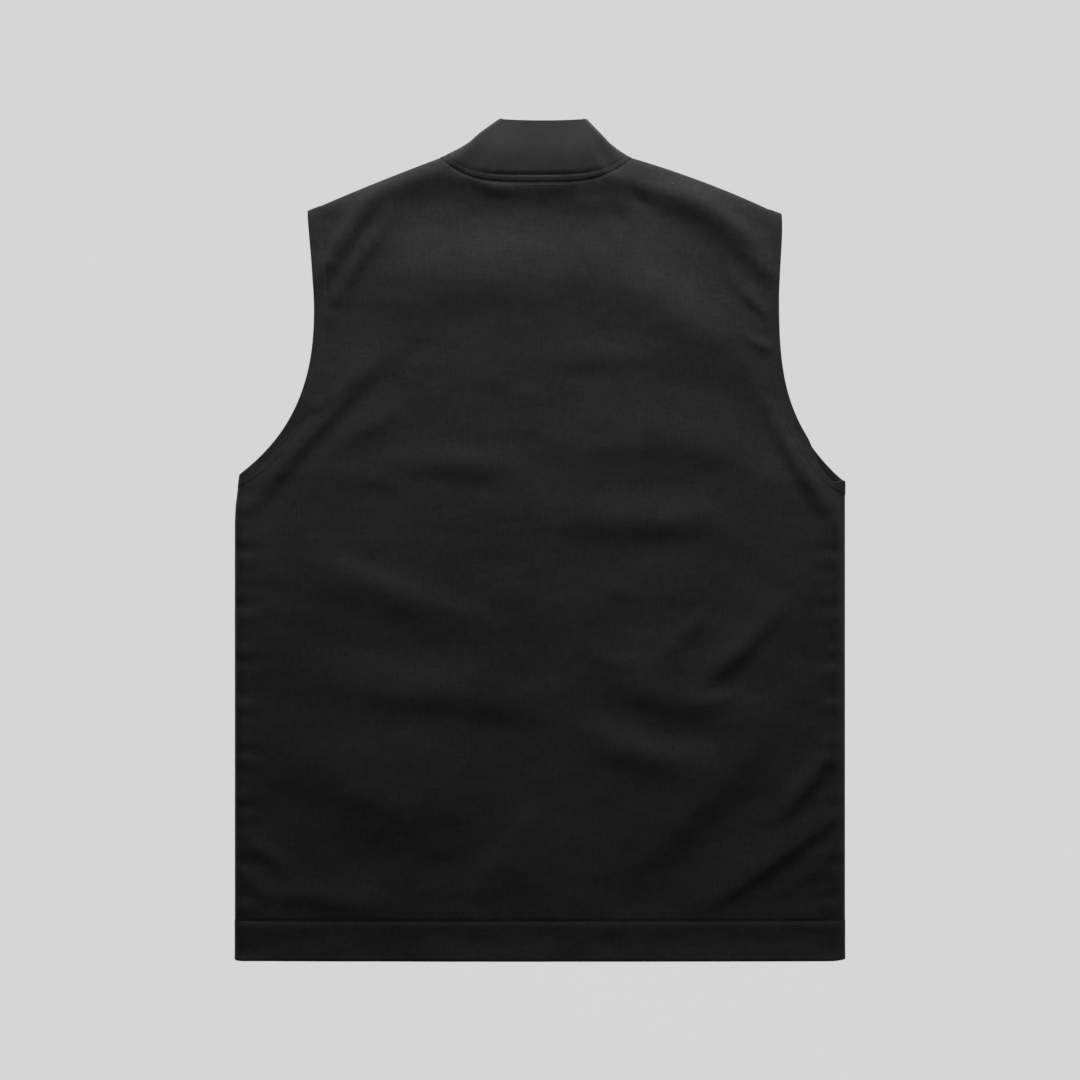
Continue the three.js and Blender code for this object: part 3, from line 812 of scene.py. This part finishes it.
def tinted(tree, share, low, high):
    node = add_node(tree, "ShaderNodeMix", data_type="RGBA")
    tree.links.new(share, node.inputs["Factor"])
    for name, colour in (("A", low), ("B", high)):
        socket = next(s for s in node.inputs if s.name == name and s.type == "RGBA")
        if isinstance(colour, bpy.types.NodeSocket):
            tree.links.new(colour, socket)
        else:
            socket.default_value = (*colour, 1.0)
    return next(s for s in node.outputs if s.type == "RGBA")


def new_group(name, inputs, outputs):
    """A shader node group with named inputs, each with its default, and named value outputs."""
    tree = bpy.data.node_groups.new(name, "ShaderNodeTree")
    for label, default in inputs.items():
        socket = tree.interface.new_socket(name=label, in_out="INPUT", socket_type="NodeSocketFloat")
        socket.default_value = default
    for label in outputs:
        tree.interface.new_socket(name=label, in_out="OUTPUT", socket_type="NodeSocketFloat")
    return tree, add_node(tree, "NodeGroupInput").outputs, add_node(tree, "NodeGroupOutput").inputs


def place_group(tree, group, **values):
    node = add_node(tree, "ShaderNodeGroup", node_tree=group)
    for label, value in values.items():
        node.inputs[label].default_value = value
    return node.outputs


def stretched_noise(tree, vector, scale_u, scale_v, detail):
    mapping = add_node(tree, "ShaderNodeMapping")
    mapping.inputs["Scale"].default_value = (scale_u, scale_v, 1.0)
    texture = add_node(tree, "ShaderNodeTexNoise")
    texture.inputs["Scale"].default_value = 1.0
    texture.inputs["Detail"].default_value = detail
    tree.links.new(vector, mapping.inputs["Vector"])
    tree.links.new(mapping.outputs["Vector"], texture.inputs["Vector"])
    return texture.outputs["Fac"]


def thread_waves(tree, spacings):
    """Places on the cloth's UV map, and a wave across it and a wave up it with these spacings."""
    place = add_node(tree, "ShaderNodeUVMap", uv_map="UVMap").outputs["UV"]
    split = add_node(tree, "ShaderNodeSeparateXYZ")
    tree.links.new(place, split.inputs[0])
    waves = []
    for axis, spacing in zip("XY", spacings):
        turns = work_out(tree, "DIVIDE", 2 * math.pi, spacing)
        waves.append(work_out(tree, "SINE", work_out(tree, "MULTIPLY", split.outputs[axis], turns)))
    return place, waves


def plain_weave_group():
    """Warp and weft that pass over and under each other, with uneven yarns, laid along the cloth's UV map."""
    name = "plain_weave"
    if name in bpy.data.node_groups:
        return bpy.data.node_groups[name]
    tree, given, put_out = new_group(name, {"Pitch": 0.0006}, ("Height", "Yarn"))
    threads, waves = thread_waves(tree, (given["Pitch"], given["Pitch"]))
    crossing = work_out(tree, "MULTIPLY", *waves)
    across = stretched_noise(tree, threads, YARN_LONG, YARN_FINE, detail=2.0)
    along = stretched_noise(tree, threads, YARN_FINE, YARN_LONG, detail=2.0)
    yarn = average(tree, across, along)
    height = work_out(tree, "ADD", work_out(tree, "MULTIPLY", crossing, 0.5), yarn)
    tree.links.new(height, put_out["Height"])
    tree.links.new(yarn, put_out["Yarn"])
    return tree


def rib_knit_group():
    """Upright ribs crossed by rows of loops, laid along the collar's UV map."""
    name = "rib_knit_loops"
    if name in bpy.data.node_groups:
        return bpy.data.node_groups[name]
    tree, given, put_out = new_group(name, {"Rib": 0.0024, "Row": 0.0013}, ("Height", "Rib"))
    waves = thread_waves(tree, (given["Rib"], given["Row"]))[1]
    rows = work_out(tree, "MULTIPLY", waves[1], ROW_SHARE)
    tree.links.new(work_out(tree, "ADD", waves[0], rows), put_out["Height"])
    tree.links.new(waves[0], put_out["Rib"])
    return tree


def tone_drift_group():
    """Broad and fine unevenness of a dyed and washed cloth, as a tone about a half."""
    name = "tone_drift"
    if name in bpy.data.node_groups:
        return bpy.data.node_groups[name]
    tree, given, put_out = new_group(name, {"Broad": 14.0, "Fine": 420.0}, ("Tone",))
    place = add_node(tree, "ShaderNodeTexCoord").outputs["Object"]
    tones = []
    for label, detail in (("Broad", 3.0), ("Fine", 4.0)):
        texture = add_node(tree, "ShaderNodeTexNoise")
        texture.inputs["Detail"].default_value = detail
        tree.links.new(place, texture.inputs["Vector"])
        tree.links.new(given[label], texture.inputs["Scale"])
        tones.append(texture.outputs["Fac"])
    tree.links.new(average(tree, *tones), put_out["Tone"])
    return tree


def lint_group():
    """Sparse specks of pale lint."""
    name = "lint_specks"
    if name in bpy.data.node_groups:
        return bpy.data.node_groups[name]
    tree, given, put_out = new_group(name, {"Cells": 40.0, "Share": 0.02, "Size": 0.04}, ("Mask",))
    place = add_node(tree, "ShaderNodeTexCoord").outputs["Object"]
    cells = add_node(tree, "ShaderNodeTexVoronoi")
    tree.links.new(place, cells.inputs["Vector"])
    tree.links.new(given["Cells"], cells.inputs["Scale"])
    colour = add_node(tree, "ShaderNodeSeparateXYZ")
    tree.links.new(cells.outputs["Color"], colour.inputs[0])
    chosen = work_out(tree, "LESS_THAN", colour.outputs["X"], given["Share"])
    near = work_out(tree, "LESS_THAN", cells.outputs["Distance"], given["Size"])
    tree.links.new(work_out(tree, "MULTIPLY", chosen, near), put_out["Mask"])
    return tree


# Materials


def new_material(name):
    """A new material, its node tree and its shader."""
    material = bpy.data.materials.new(name)
    material.use_nodes = True
    tree = material.node_tree
    shader = tree.nodes["Principled BSDF"]
    return material, tree, shader


def add_bump(tree, shader, height, distance):
    bump = add_node(tree, "ShaderNodeBump")
    bump.inputs["Distance"].default_value = distance
    tree.links.new(height, bump.inputs["Height"])
    tree.links.new(bump.outputs["Normal"], shader.inputs["Normal"])


def shades(tree, shader, tone, colour, contrast, roughness):
    """A colour that is darker where the tone is low and paler where it is high. The roughness follows it."""
    tree.links.new(ranged(tree, tone, TONE_LOW, TONE_HIGH, *roughness), shader.inputs["Roughness"])
    dark = [(1 - contrast) * part for part in colour]
    light = [(1 + contrast) * part for part in colour]
    return tinted(tree, ranged(tree, tone, TONE_LOW, TONE_HIGH, 0.0, 1.0), dark, light)


def canvas_material(cloth):
    """Black cotton canvas: dull, slightly uneven in tone, with a fine plain weave and a little lint."""
    name = "black_canvas"
    if name in bpy.data.materials:
        return bpy.data.materials[name]
    material, tree, shader = new_material(name)
    weave = place_group(tree, plain_weave_group(), Pitch=cloth.weave_pitch)
    drift = place_group(tree, tone_drift_group(), Broad=14.0, Fine=250.0)
    tone = average(tree, weave["Yarn"], drift["Tone"])
    colour = shades(tree, shader, tone, cloth.canvas_colour, contrast=0.38, roughness=(0.95, 0.84))
    lint = place_group(tree, lint_group())
    tree.links.new(tinted(tree, lint["Mask"], colour, cloth.lint_colour), shader.inputs["Base Color"])
    add_bump(tree, shader, weave["Height"], distance=0.00008)
    shader.inputs["Specular IOR Level"].default_value = 0.25
    shader.inputs["Sheen Weight"].default_value = 0.12
    shader.inputs["Sheen Roughness"].default_value = 0.45
    return material


def knit_material(cloth):
    """Black rib knit: softer and duller than the canvas, with fine upright ribs, painted paler on their tops
    and darker between them.
    """
    name = "black_rib_knit"
    if name in bpy.data.materials:
        return bpy.data.materials[name]
    material, tree, shader = new_material(name)
    knit = place_group(tree, rib_knit_group(), Rib=cloth.rib_pitch, Row=cloth.row_pitch)
    drift = place_group(tree, tone_drift_group(), Broad=18.0, Fine=600.0)
    # Painted light: the colour is paler on the ribs and darker between them, where shade would fall
    tone = work_out(tree, "ADD", drift["Tone"], work_out(tree, "MULTIPLY", knit["Rib"], RIB_PAINTED_SHADE))
    colour = shades(tree, shader, tone, cloth.knit_colour, contrast=0.2, roughness=(0.98, 0.88))
    tree.links.new(colour, shader.inputs["Base Color"])
    add_bump(tree, shader, knit["Height"], distance=0.00004)
    shader.inputs["Specular IOR Level"].default_value = 0.2
    shader.inputs["Sheen Weight"].default_value = 0.2
    shader.inputs["Sheen Roughness"].default_value = 0.5
    return material


def thread_material(cloth):
    """Black sewing thread, a little shinier than the cloth."""
    name = "black_thread"
    if name in bpy.data.materials:
        return bpy.data.materials[name]
    material, tree, shader = new_material(name)
    drift = place_group(tree, tone_drift_group(), Broad=60.0, Fine=2500.0)
    colour = shades(tree, shader, drift["Tone"], cloth.thread_colour, contrast=0.25, roughness=(0.6, 0.45))
    tree.links.new(colour, shader.inputs["Base Color"])
    add_bump(tree, shader, drift["Tone"], distance=0.00006)
    shader.inputs["Specular IOR Level"].default_value = 0.25
    return material


def zip_material(cloth):
    """Black zip tape with a tight weave."""
    name = "black_zip_tape"
    if name in bpy.data.materials:
        return bpy.data.materials[name]
    material, tree, shader = new_material(name)
    weave = place_group(tree, plain_weave_group(), Pitch=0.0009)
    drift = place_group(tree, tone_drift_group(), Broad=30.0, Fine=700.0)
    tone = average(tree, weave["Yarn"], drift["Tone"])
    colour = shades(tree, shader, tone, cloth.zip_colour, contrast=0.2, roughness=(0.65, 0.5))
    tree.links.new(colour, shader.inputs["Base Color"])
    add_bump(tree, shader, weave["Height"], distance=0.00012)
    shader.inputs["Specular IOR Level"].default_value = 0.35
    return material


def floor_material(stage):
    """Pale seamless paper, evenly lit through and through."""
    material, tree, shader = new_material("pale_paper")
    drift = place_group(tree, tone_drift_group(), Broad=1.2, Fine=900.0)
    shade = ranged(tree, drift["Tone"], *FLOOR_TONE, 0.0, 1.0)
    dark = [FLOOR_DARK * part for part in stage.floor_colour]
    tree.links.new(tinted(tree, shade, dark, stage.floor_colour), shader.inputs["Emission Color"])
    shader.inputs["Emission Strength"].default_value = stage.floor_glow
    shader.inputs["Base Color"].default_value = (0.0, 0.0, 0.0, 1.0)
    shader.inputs["Roughness"].default_value = 1.0
    shader.inputs["Specular IOR Level"].default_value = 0.0
    return material


# Pieces


def make_back_panel(sizes, cloth):
    column, row = np.meshgrid(back_columns(), panel_rows(BACK_STEP))
    points = surface("back", back_plan(column, row), sizes.canvas / MM)
    sew("back_panel", points, sizes.canvas, canvas_material(cloth))


def hem_profile(y):
    """The hem band dips along its middle, in millimetres."""
    share = np.clip((y - HEM_Y) / HEM_BAND, 0, 1)
    return -HEM_DIP * (1 - np.cos(2 * np.pi * share)) / 2


def make_hem_band(name, face, xs, sizes, cloth):
    top = SEAM_Y - SEAM_GAP / 2
    lower = spread(HEM_Y, top - SEAM_STATIONS[-1], BAND_STEP)
    x, y = np.meshgrid(xs, np.concatenate([lower[:-1], top - SEAM_STATIONS[::-1]]))
    points = surface(face, plan(x, y), sizes.folded / MM)
    if face == "back":
        points[..., 2] += hem_profile(y)

    def at_hem(places):
        return places[:, 1] < HEM_Y + HEM_EDGE_REACH

    sew(name, points, sizes.folded, canvas_material(cloth), open_edge=at_hem)


def make_front_panel(name, side, sizes, cloth):
    width = SIDE_X - ZIP_WIDTH / 2
    turned = rolled(width, FRONT_ROLL_STATIONS)
    columns = np.concatenate([turned, spread(turned[-1], 1, FRONT_STEP / width)[1:]])
    column, row = np.meshgrid(columns, panel_rows(FRONT_STEP))
    points = surface("front", front_plan(side, column, row), sizes.canvas / MM)
    sew(f"front_panel_{name}", points, sizes.canvas, canvas_material(cloth))


def band_shares(side):
    """Stations along an armhole, closer together at its seams."""
    middle = np.linspace(0, 1, round(side.length / BAND_STEP) + 1)
    return np.unique(np.concatenate([middle, BAND_ENDS]))


def armhole_band_points(side, wall):
    """A closed ring that runs up the back's side of an armhole and down the front's."""
    shares = band_shares(side)
    insets = np.linspace(0, ARMHOLE_BAND, BAND_COLUMNS)
    faces = []
    for face, run in (("back", shares), ("front", shares[::-1])):
        share, inset = np.meshgrid(run, insets, indexing="ij")
        faces.append(surface(face, armhole_point(side, face, share, inset), wall))
    back, front = faces
    return np.concatenate([back, front[1:-1], back[:1]])


def make_armhole_band(name, side, sizes, cloth):
    points = armhole_band_points(side, sizes.folded / MM)
    outer = points[:, 0]

    def at_armhole(places):
        gaps = np.array([np.min(np.linalg.norm(outer - place, axis=1)) for place in places])
        return gaps < OPEN_EDGE_REACH

    sew(
        f"armhole_band_{name}", points, sizes.folded, canvas_material(cloth),
        threads=running_threads, ring=True, open_edge=at_armhole,
    )


def neck_line(level, wall, turn, across, base):
    """One ring of the neck: from the closure round the left fold, over the back and round the right fold."""
    ring = neck_ring(level)
    left = neck_front_plan(level, -1, turn[:-1])
    back = neck_back_plan(level, across)
    right = neck_front_plan(level, 1, turn[-2::-1])
    line = np.concatenate([left, back, right])
    on_back = np.zeros(len(line), bool)
    on_back[len(left) : len(left) + len(back)] = True
    below = (ring.y - line[:, 1]) * math.cos(COLLAR_SLANT)
    inside = (ring.half - np.abs(line[:, 0] - ring.shift)) * math.sin(COLLAR_SLANT)
    lift = roll_lift(below + inside, COLLAR_ROLL)
    z = SEAM_Z + (np.where(on_back, ring.crown, wall / 2) - SEAM_Z) * lift
    notch = NECK_NOTCH * max(0.0, 1 - abs(level - 1) / NOTCH_REACH) * (1 - across**2)
    foot = base + (np.interp(level, NECK_RISE_AT, NECK_RISE) - notch) * lift[on_back]
    z[on_back] = mix(foot, z[on_back], smooth((level - 1) / COLLAR_OWN))
    return np.concatenate([line, z[:, None]], axis=1)


def neck_points(levels, wall):
    """Rings of the neck at these levels, at the middle of the wall."""
    turn = np.linspace(1, 0, round(NECK_FRONT_LONG / COLLAR_STEP) + 1)
    across = np.sin(np.linspace(-math.pi / 2, math.pi / 2, round(NECK_BACK_LONG / COLLAR_STEP) + 1))
    edge = neck_back_plan(0, across)
    base = back_height(edge[:, 0], edge[:, 1])
    return np.array([neck_line(level, wall, turn, across, base) for level in levels])


def make_neck_band(sizes, cloth):
    points = neck_points(NECK_BAND_LEVELS, sizes.folded / MM)
    canvas = canvas_material(cloth)
    sew("neck_band", points, sizes.folded, canvas, threads=running_threads)


def make_rib_collar(sizes, cloth):
    points = neck_points(COLLAR_LEVELS, sizes.knit / MM)
    sew("rib_collar", points, sizes.knit, knit_material(cloth), threads=running_threads)


def make_front_zip(sizes, cloth):
    top = NECK_RINGS["y"][-1] - NECK_RINGS["drop"][-1]
    xs = np.linspace(-ZIP_WIDTH / 2, ZIP_WIDTH / 2, ZIP_COLUMNS)
    x, y = np.meshgrid(xs, spread(HEM_Y, top, FRONT_STEP))
    z = sizes.zip_wall / MM / 2 + ZIP_RIDGE * bell(x, ZIP_RIDGE_REACH)
    points = np.stack([x, y, z], axis=-1)
    sew("front_zip", points, sizes.zip_wall, zip_material(cloth), threads=running_threads)


def stitch_shape():
    """The corners and faces of one stitch, a metre long, wide and high."""
    deselect()
    bpy.ops.mesh.primitive_uv_sphere_add(segments=6, ring_count=4, radius=0.5)
    stitch = bpy.context.object
    corners = np.array([tuple(corner.co) for corner in stitch.data.vertices])
    faces = [tuple(face.vertices) for face in stitch.data.polygons]
    bpy.data.meshes.remove(stitch.data)
    return corners, faces


def stitch_places(line, corners):
    """Copies of a stitch's corners along a line."""
    run = lengths(line[:, None], 0)[:, 0]
    at = np.arange(STITCH_PITCH / 2, run[-1], STITCH_PITCH)
    along = unit(between(at + STITCH_AIM, run, line) - between(at - STITCH_AIM, run, line))
    side = unit(np.cross((0.0, 0.0, 1.0), along))
    up = np.cross(along, side)
    axes = np.stack([along * STITCH_LONG, side * STITCH_WIDE, up * STITCH_HIGH], axis=1)
    return between(at, run, line)[:, None] + corners @ axes


def make_topstitch(name, lines, cloth):
    corners, faces = stitch_shape()
    places = np.concatenate([stitch_places(line, corners) for line in lines])
    mesh = bpy.data.meshes.new(name)
    starts = range(0, len(places) * len(corners), len(corners))
    copies = [tuple(start + corner for corner in face) for start in starts for face in faces]
    mesh.from_pydata(places.reshape(-1, 3) * MM, [], copies)
    mesh.shade_smooth()
    rows = bpy.data.objects.new(name, mesh)
    bpy.context.collection.objects.link(rows)
    dress(rows, thread_material(cloth))
    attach(rows, "root")


def stitched(points, wall):
    """A line of stitching on top of the back."""
    line = surface("back", points, wall)
    line[:, 2] += wall / 2
    return line


def hem_stitch_lines(sizes):
    xs = spread(STITCH_END - SIDE_X, SIDE_X - STITCH_END, STITCH_STEP)
    lines = []
    for y in (SEAM_Y - HEM_STITCH, HEM_Y + HEM_STITCH):
        line = stitched(plan(xs, y), sizes.folded / MM)
        line[:, 2] += hem_profile(y)
        lines.append(line)
    return lines


def armhole_stitch_lines(sizes):
    shares = np.linspace(*ARMHOLE_STITCH_RUN)
    inset = np.full(len(shares), ARMHOLE_BAND - ARMHOLE_STITCH)
    plans = [armhole_point(side, "back", shares, inset) for side in SIDES.values()]
    return [stitched(points, sizes.folded / MM) for points in plans]


def neck_stitch_lines(sizes):
    line = neck_back_plan(0, np.linspace(*NECK_STITCH_RUN))
    line[:, 1] -= NECK_STITCH
    return [stitched(line, sizes.canvas / MM)]


# Stage


def make_floor(stage):
    deselect()
    bpy.ops.mesh.primitive_plane_add(size=FLOOR_SIZE, location=(0.0, 0.0, 0.0))
    floor = bpy.context.object
    floor.name = "floor"
    bpy.ops.object.mode_set(mode="EDIT")
    bpy.ops.mesh.subdivide(number_cuts=FLOOR_CUTS)
    bpy.ops.object.mode_set(mode="OBJECT")
    dress(floor, floor_material(stage))
    floor.visible_diffuse = False
    floor.visible_glossy = False


def add_key_light(power):
    bpy.ops.object.light_add(type="AREA", location=KEY_PLACE)
    lamp = bpy.context.object
    lamp.name = "key_light"
    lamp.data.shape = "RECTANGLE"
    lamp.data.size, lamp.data.size_y = KEY_SIZE
    lamp.data.energy = power
    lamp.visible_camera = False
    lamp.rotation_euler = (Vector(KEY_TARGET) - Vector(KEY_PLACE)).to_track_quat("-Z", "Y").to_euler()


def make_lights(scene, stage):
    add_key_light(stage.key_power)
    world = bpy.data.worlds.new("studio")
    scene.world = world
    world.use_nodes = True
    background = world.node_tree.nodes["Background"]
    background.inputs["Color"].default_value = (1.0, 1.0, 1.0, 1.0)
    background.inputs["Strength"].default_value = stage.fill_level
    scene.view_settings.view_transform = "Standard"


def make_camera(scene, stage):
    bpy.ops.object.camera_add(location=(0.0, 0.0, stage.camera_height), rotation=(0.0, 0.0, 0.0))
    camera = bpy.context.object
    camera.name = "camera"
    camera.data.lens = LENS
    camera.data.sensor_width = SENSOR
    camera.data.clip_end = FAR_CLIP
    scene.camera = camera


# Settings


def length_setting(name, description, default):
    return bpy.props.FloatProperty(name=name, description=description, default=default, unit="LENGTH")


def colour_setting(name, description, default):
    return bpy.props.FloatVectorProperty(
        name=name, description=description, default=default, size=3, subtype="COLOR"
    )


class VestSizes(bpy.types.PropertyGroup):
    """Walls of the cloth"""

    canvas: length_setting("Canvas wall", "Wall of the canvas panels", 0.002)
    folded: length_setting("Folded wall", "Wall of the bands, where canvas is folded on itself", 0.0026)
    knit: length_setting("Knit wall", "Wall of the doubled rib knit", 0.0032)
    zip_wall: length_setting("Zip wall", "Thickness of the closure", 0.002)


class VestCloth(bpy.types.PropertyGroup):
    """Colours and weaves"""

    canvas_colour: colour_setting("Canvas", "Colour of the canvas", (0.0204, 0.0204, 0.0219))
    knit_colour: colour_setting("Rib knit", "Colour of the collar", (0.0206, 0.0206, 0.022))
    thread_colour: colour_setting("Thread", "Colour of the topstitching", (0.03, 0.03, 0.032))
    zip_colour: colour_setting("Zip tape", "Colour of the closure", (0.012, 0.012, 0.013))
    lint_colour: colour_setting("Lint", "Colour of the lint", (0.055, 0.055, 0.055))
    weave_pitch: length_setting("Weave pitch", "Repeat of the canvas weave, which takes two yarns", 0.0011)
    rib_pitch: length_setting("Rib pitch", "Distance between the collar's ribs", 0.0024)
    row_pitch: length_setting("Row pitch", "Distance between the knit's rows", 0.0013)


class VestStage(bpy.types.PropertyGroup):
    """Floor, light and camera"""

    floor_colour: colour_setting("Floor", "Colour of the floor", (0.68, 0.68, 0.68))
    floor_glow: bpy.props.FloatProperty(
        name="Floor glow", description="How brightly the floor is lit", default=0.99
    )
    key_power: bpy.props.FloatProperty(
        name="Key light", description="Power of the soft light beyond the collar", default=16.5, unit="POWER"
    )
    fill_level: bpy.props.FloatProperty(name="Fill", description="Level of the light all round", default=0.15)
    camera_height: length_setting("Camera height", "Height of the camera above the floor", 2.432)


# Operators


class VestOperator:
    """What the vest's operators share"""

    bl_options = {"REGISTER", "UNDO"}

    def execute(self, context):
        scene = context.scene
        self.make(scene.vest_sizes, scene.vest_cloth)
        return {"FINISHED"}


class VEST_OT_back_panel(VestOperator, bpy.types.Operator):
    """Model the back panel with its folds"""

    bl_idname = "vest.back_panel"
    bl_label = "Back Panel"

    def make(self, sizes, cloth):
        make_back_panel(sizes, cloth)


class VEST_OT_hem_bands(VestOperator, bpy.types.Operator):
    """Model the hem bands of the back and the fronts"""

    bl_idname = "vest.hem_bands"
    bl_label = "Hem Bands"

    def make(self, sizes, cloth):
        make_hem_band("back_hem_band", "back", mix(-SIDE_X, SIDE_X, back_columns()), sizes, cloth)
        for name, side in SIDES.items():
            xs = side.sign * spread(SIDE_X, ZIP_WIDTH / 2 + SEAM_GAP, FRONT_HEM_STEP)
            make_hem_band(f"front_hem_band_{name}", "front", xs, sizes, cloth)


class VEST_OT_front_panels(VestOperator, bpy.types.Operator):
    """Model the two fronts, which lie under the back"""

    bl_idname = "vest.front_panels"
    bl_label = "Front Panels"

    def make(self, sizes, cloth):
        for name, side in SIDES.items():
            make_front_panel(name, side, sizes, cloth)


class VEST_OT_armhole_bands(VestOperator, bpy.types.Operator):
    """Model the folded bands round the armholes"""

    bl_idname = "vest.armhole_bands"
    bl_label = "Armhole Bands"

    def make(self, sizes, cloth):
        for name, side in SIDES.items():
            make_armhole_band(name, side, sizes, cloth)


class VEST_OT_neck_band(VestOperator, bpy.types.Operator):
    """Model the band between the panels and the collar"""

    bl_idname = "vest.neck_band"
    bl_label = "Neck Band"

    def make(self, sizes, cloth):
        make_neck_band(sizes, cloth)


class VEST_OT_rib_collar(VestOperator, bpy.types.Operator):
    """Model the stand collar of rib knit"""

    bl_idname = "vest.rib_collar"
    bl_label = "Rib Collar"

    def make(self, sizes, cloth):
        make_rib_collar(sizes, cloth)


class VEST_OT_front_zip(VestOperator, bpy.types.Operator):
    """Model the closure down the front"""

    bl_idname = "vest.front_zip"
    bl_label = "Front Zip"

    def make(self, sizes, cloth):
        make_front_zip(sizes, cloth)


class VEST_OT_topstitching(VestOperator, bpy.types.Operator):
    """Lay the rows of stitches on the hem band, beside the armholes and below the neck band"""

    bl_idname = "vest.topstitching"
    bl_label = "Topstitching"

    def make(self, sizes, cloth):
        make_topstitch("hem_topstitch", hem_stitch_lines(sizes), cloth)
        make_topstitch("armhole_topstitch", armhole_stitch_lines(sizes), cloth)
        make_topstitch("neck_topstitch", neck_stitch_lines(sizes), cloth)


class VEST_OT_stage(bpy.types.Operator):
    """Set up the floor, the light and the camera"""

    bl_idname = "vest.stage"
    bl_label = "Stage"
    bl_options = {"REGISTER", "UNDO"}

    def execute(self, context):
        stage = context.scene.vest_stage
        make_floor(stage)
        make_lights(context.scene, stage)
        make_camera(context.scene, stage)
        return {"FINISHED"}


PIECE_OPERATORS = (
    VEST_OT_back_panel,
    VEST_OT_hem_bands,
    VEST_OT_front_panels,
    VEST_OT_armhole_bands,
    VEST_OT_neck_band,
    VEST_OT_rib_collar,
    VEST_OT_front_zip,
    VEST_OT_topstitching,
)


class VEST_PT_pieces(bpy.types.Panel):
    """Lists the vest's pieces and its stage"""

    bl_idname = "VEST_PT_pieces"
    bl_label = "Canvas Work Vest"
    bl_space_type = "VIEW_3D"
    bl_region_type = "UI"
    bl_category = "Vest"

    def draw(self, context):
        layout = self.layout
        for group in (context.scene.vest_sizes, context.scene.vest_cloth, context.scene.vest_stage):
            for name in group.__annotations__:
                layout.prop(group, name)
        for operator in (*PIECE_OPERATORS, VEST_OT_stage):
            layout.operator(operator.bl_idname)


SETTINGS = {"vest_sizes": VestSizes, "vest_cloth": VestCloth, "vest_stage": VestStage}
CLASSES = (*SETTINGS.values(), *PIECE_OPERATORS, VEST_OT_stage, VEST_PT_pieces)


def register():
    for each in CLASSES:
        bpy.utils.register_class(each)
    for name, group in SETTINGS.items():
        setattr(bpy.types.Scene, name, bpy.props.PointerProperty(type=group))


def unregister():
    for name in SETTINGS:
        delattr(bpy.types.Scene, name)
    for each in reversed(CLASSES):
        bpy.utils.unregister_class(each)


def main():
    register()
    bpy.ops.vest.stage()
    bpy.ops.vest.back_panel()
    bpy.ops.vest.hem_bands()
    bpy.ops.vest.front_panels()
    bpy.ops.vest.armhole_bands()
    bpy.ops.vest.neck_band()
    bpy.ops.vest.rib_collar()
    bpy.ops.vest.front_zip()
    bpy.ops.vest.topstitching()


if __name__ == "__main__":
    main()
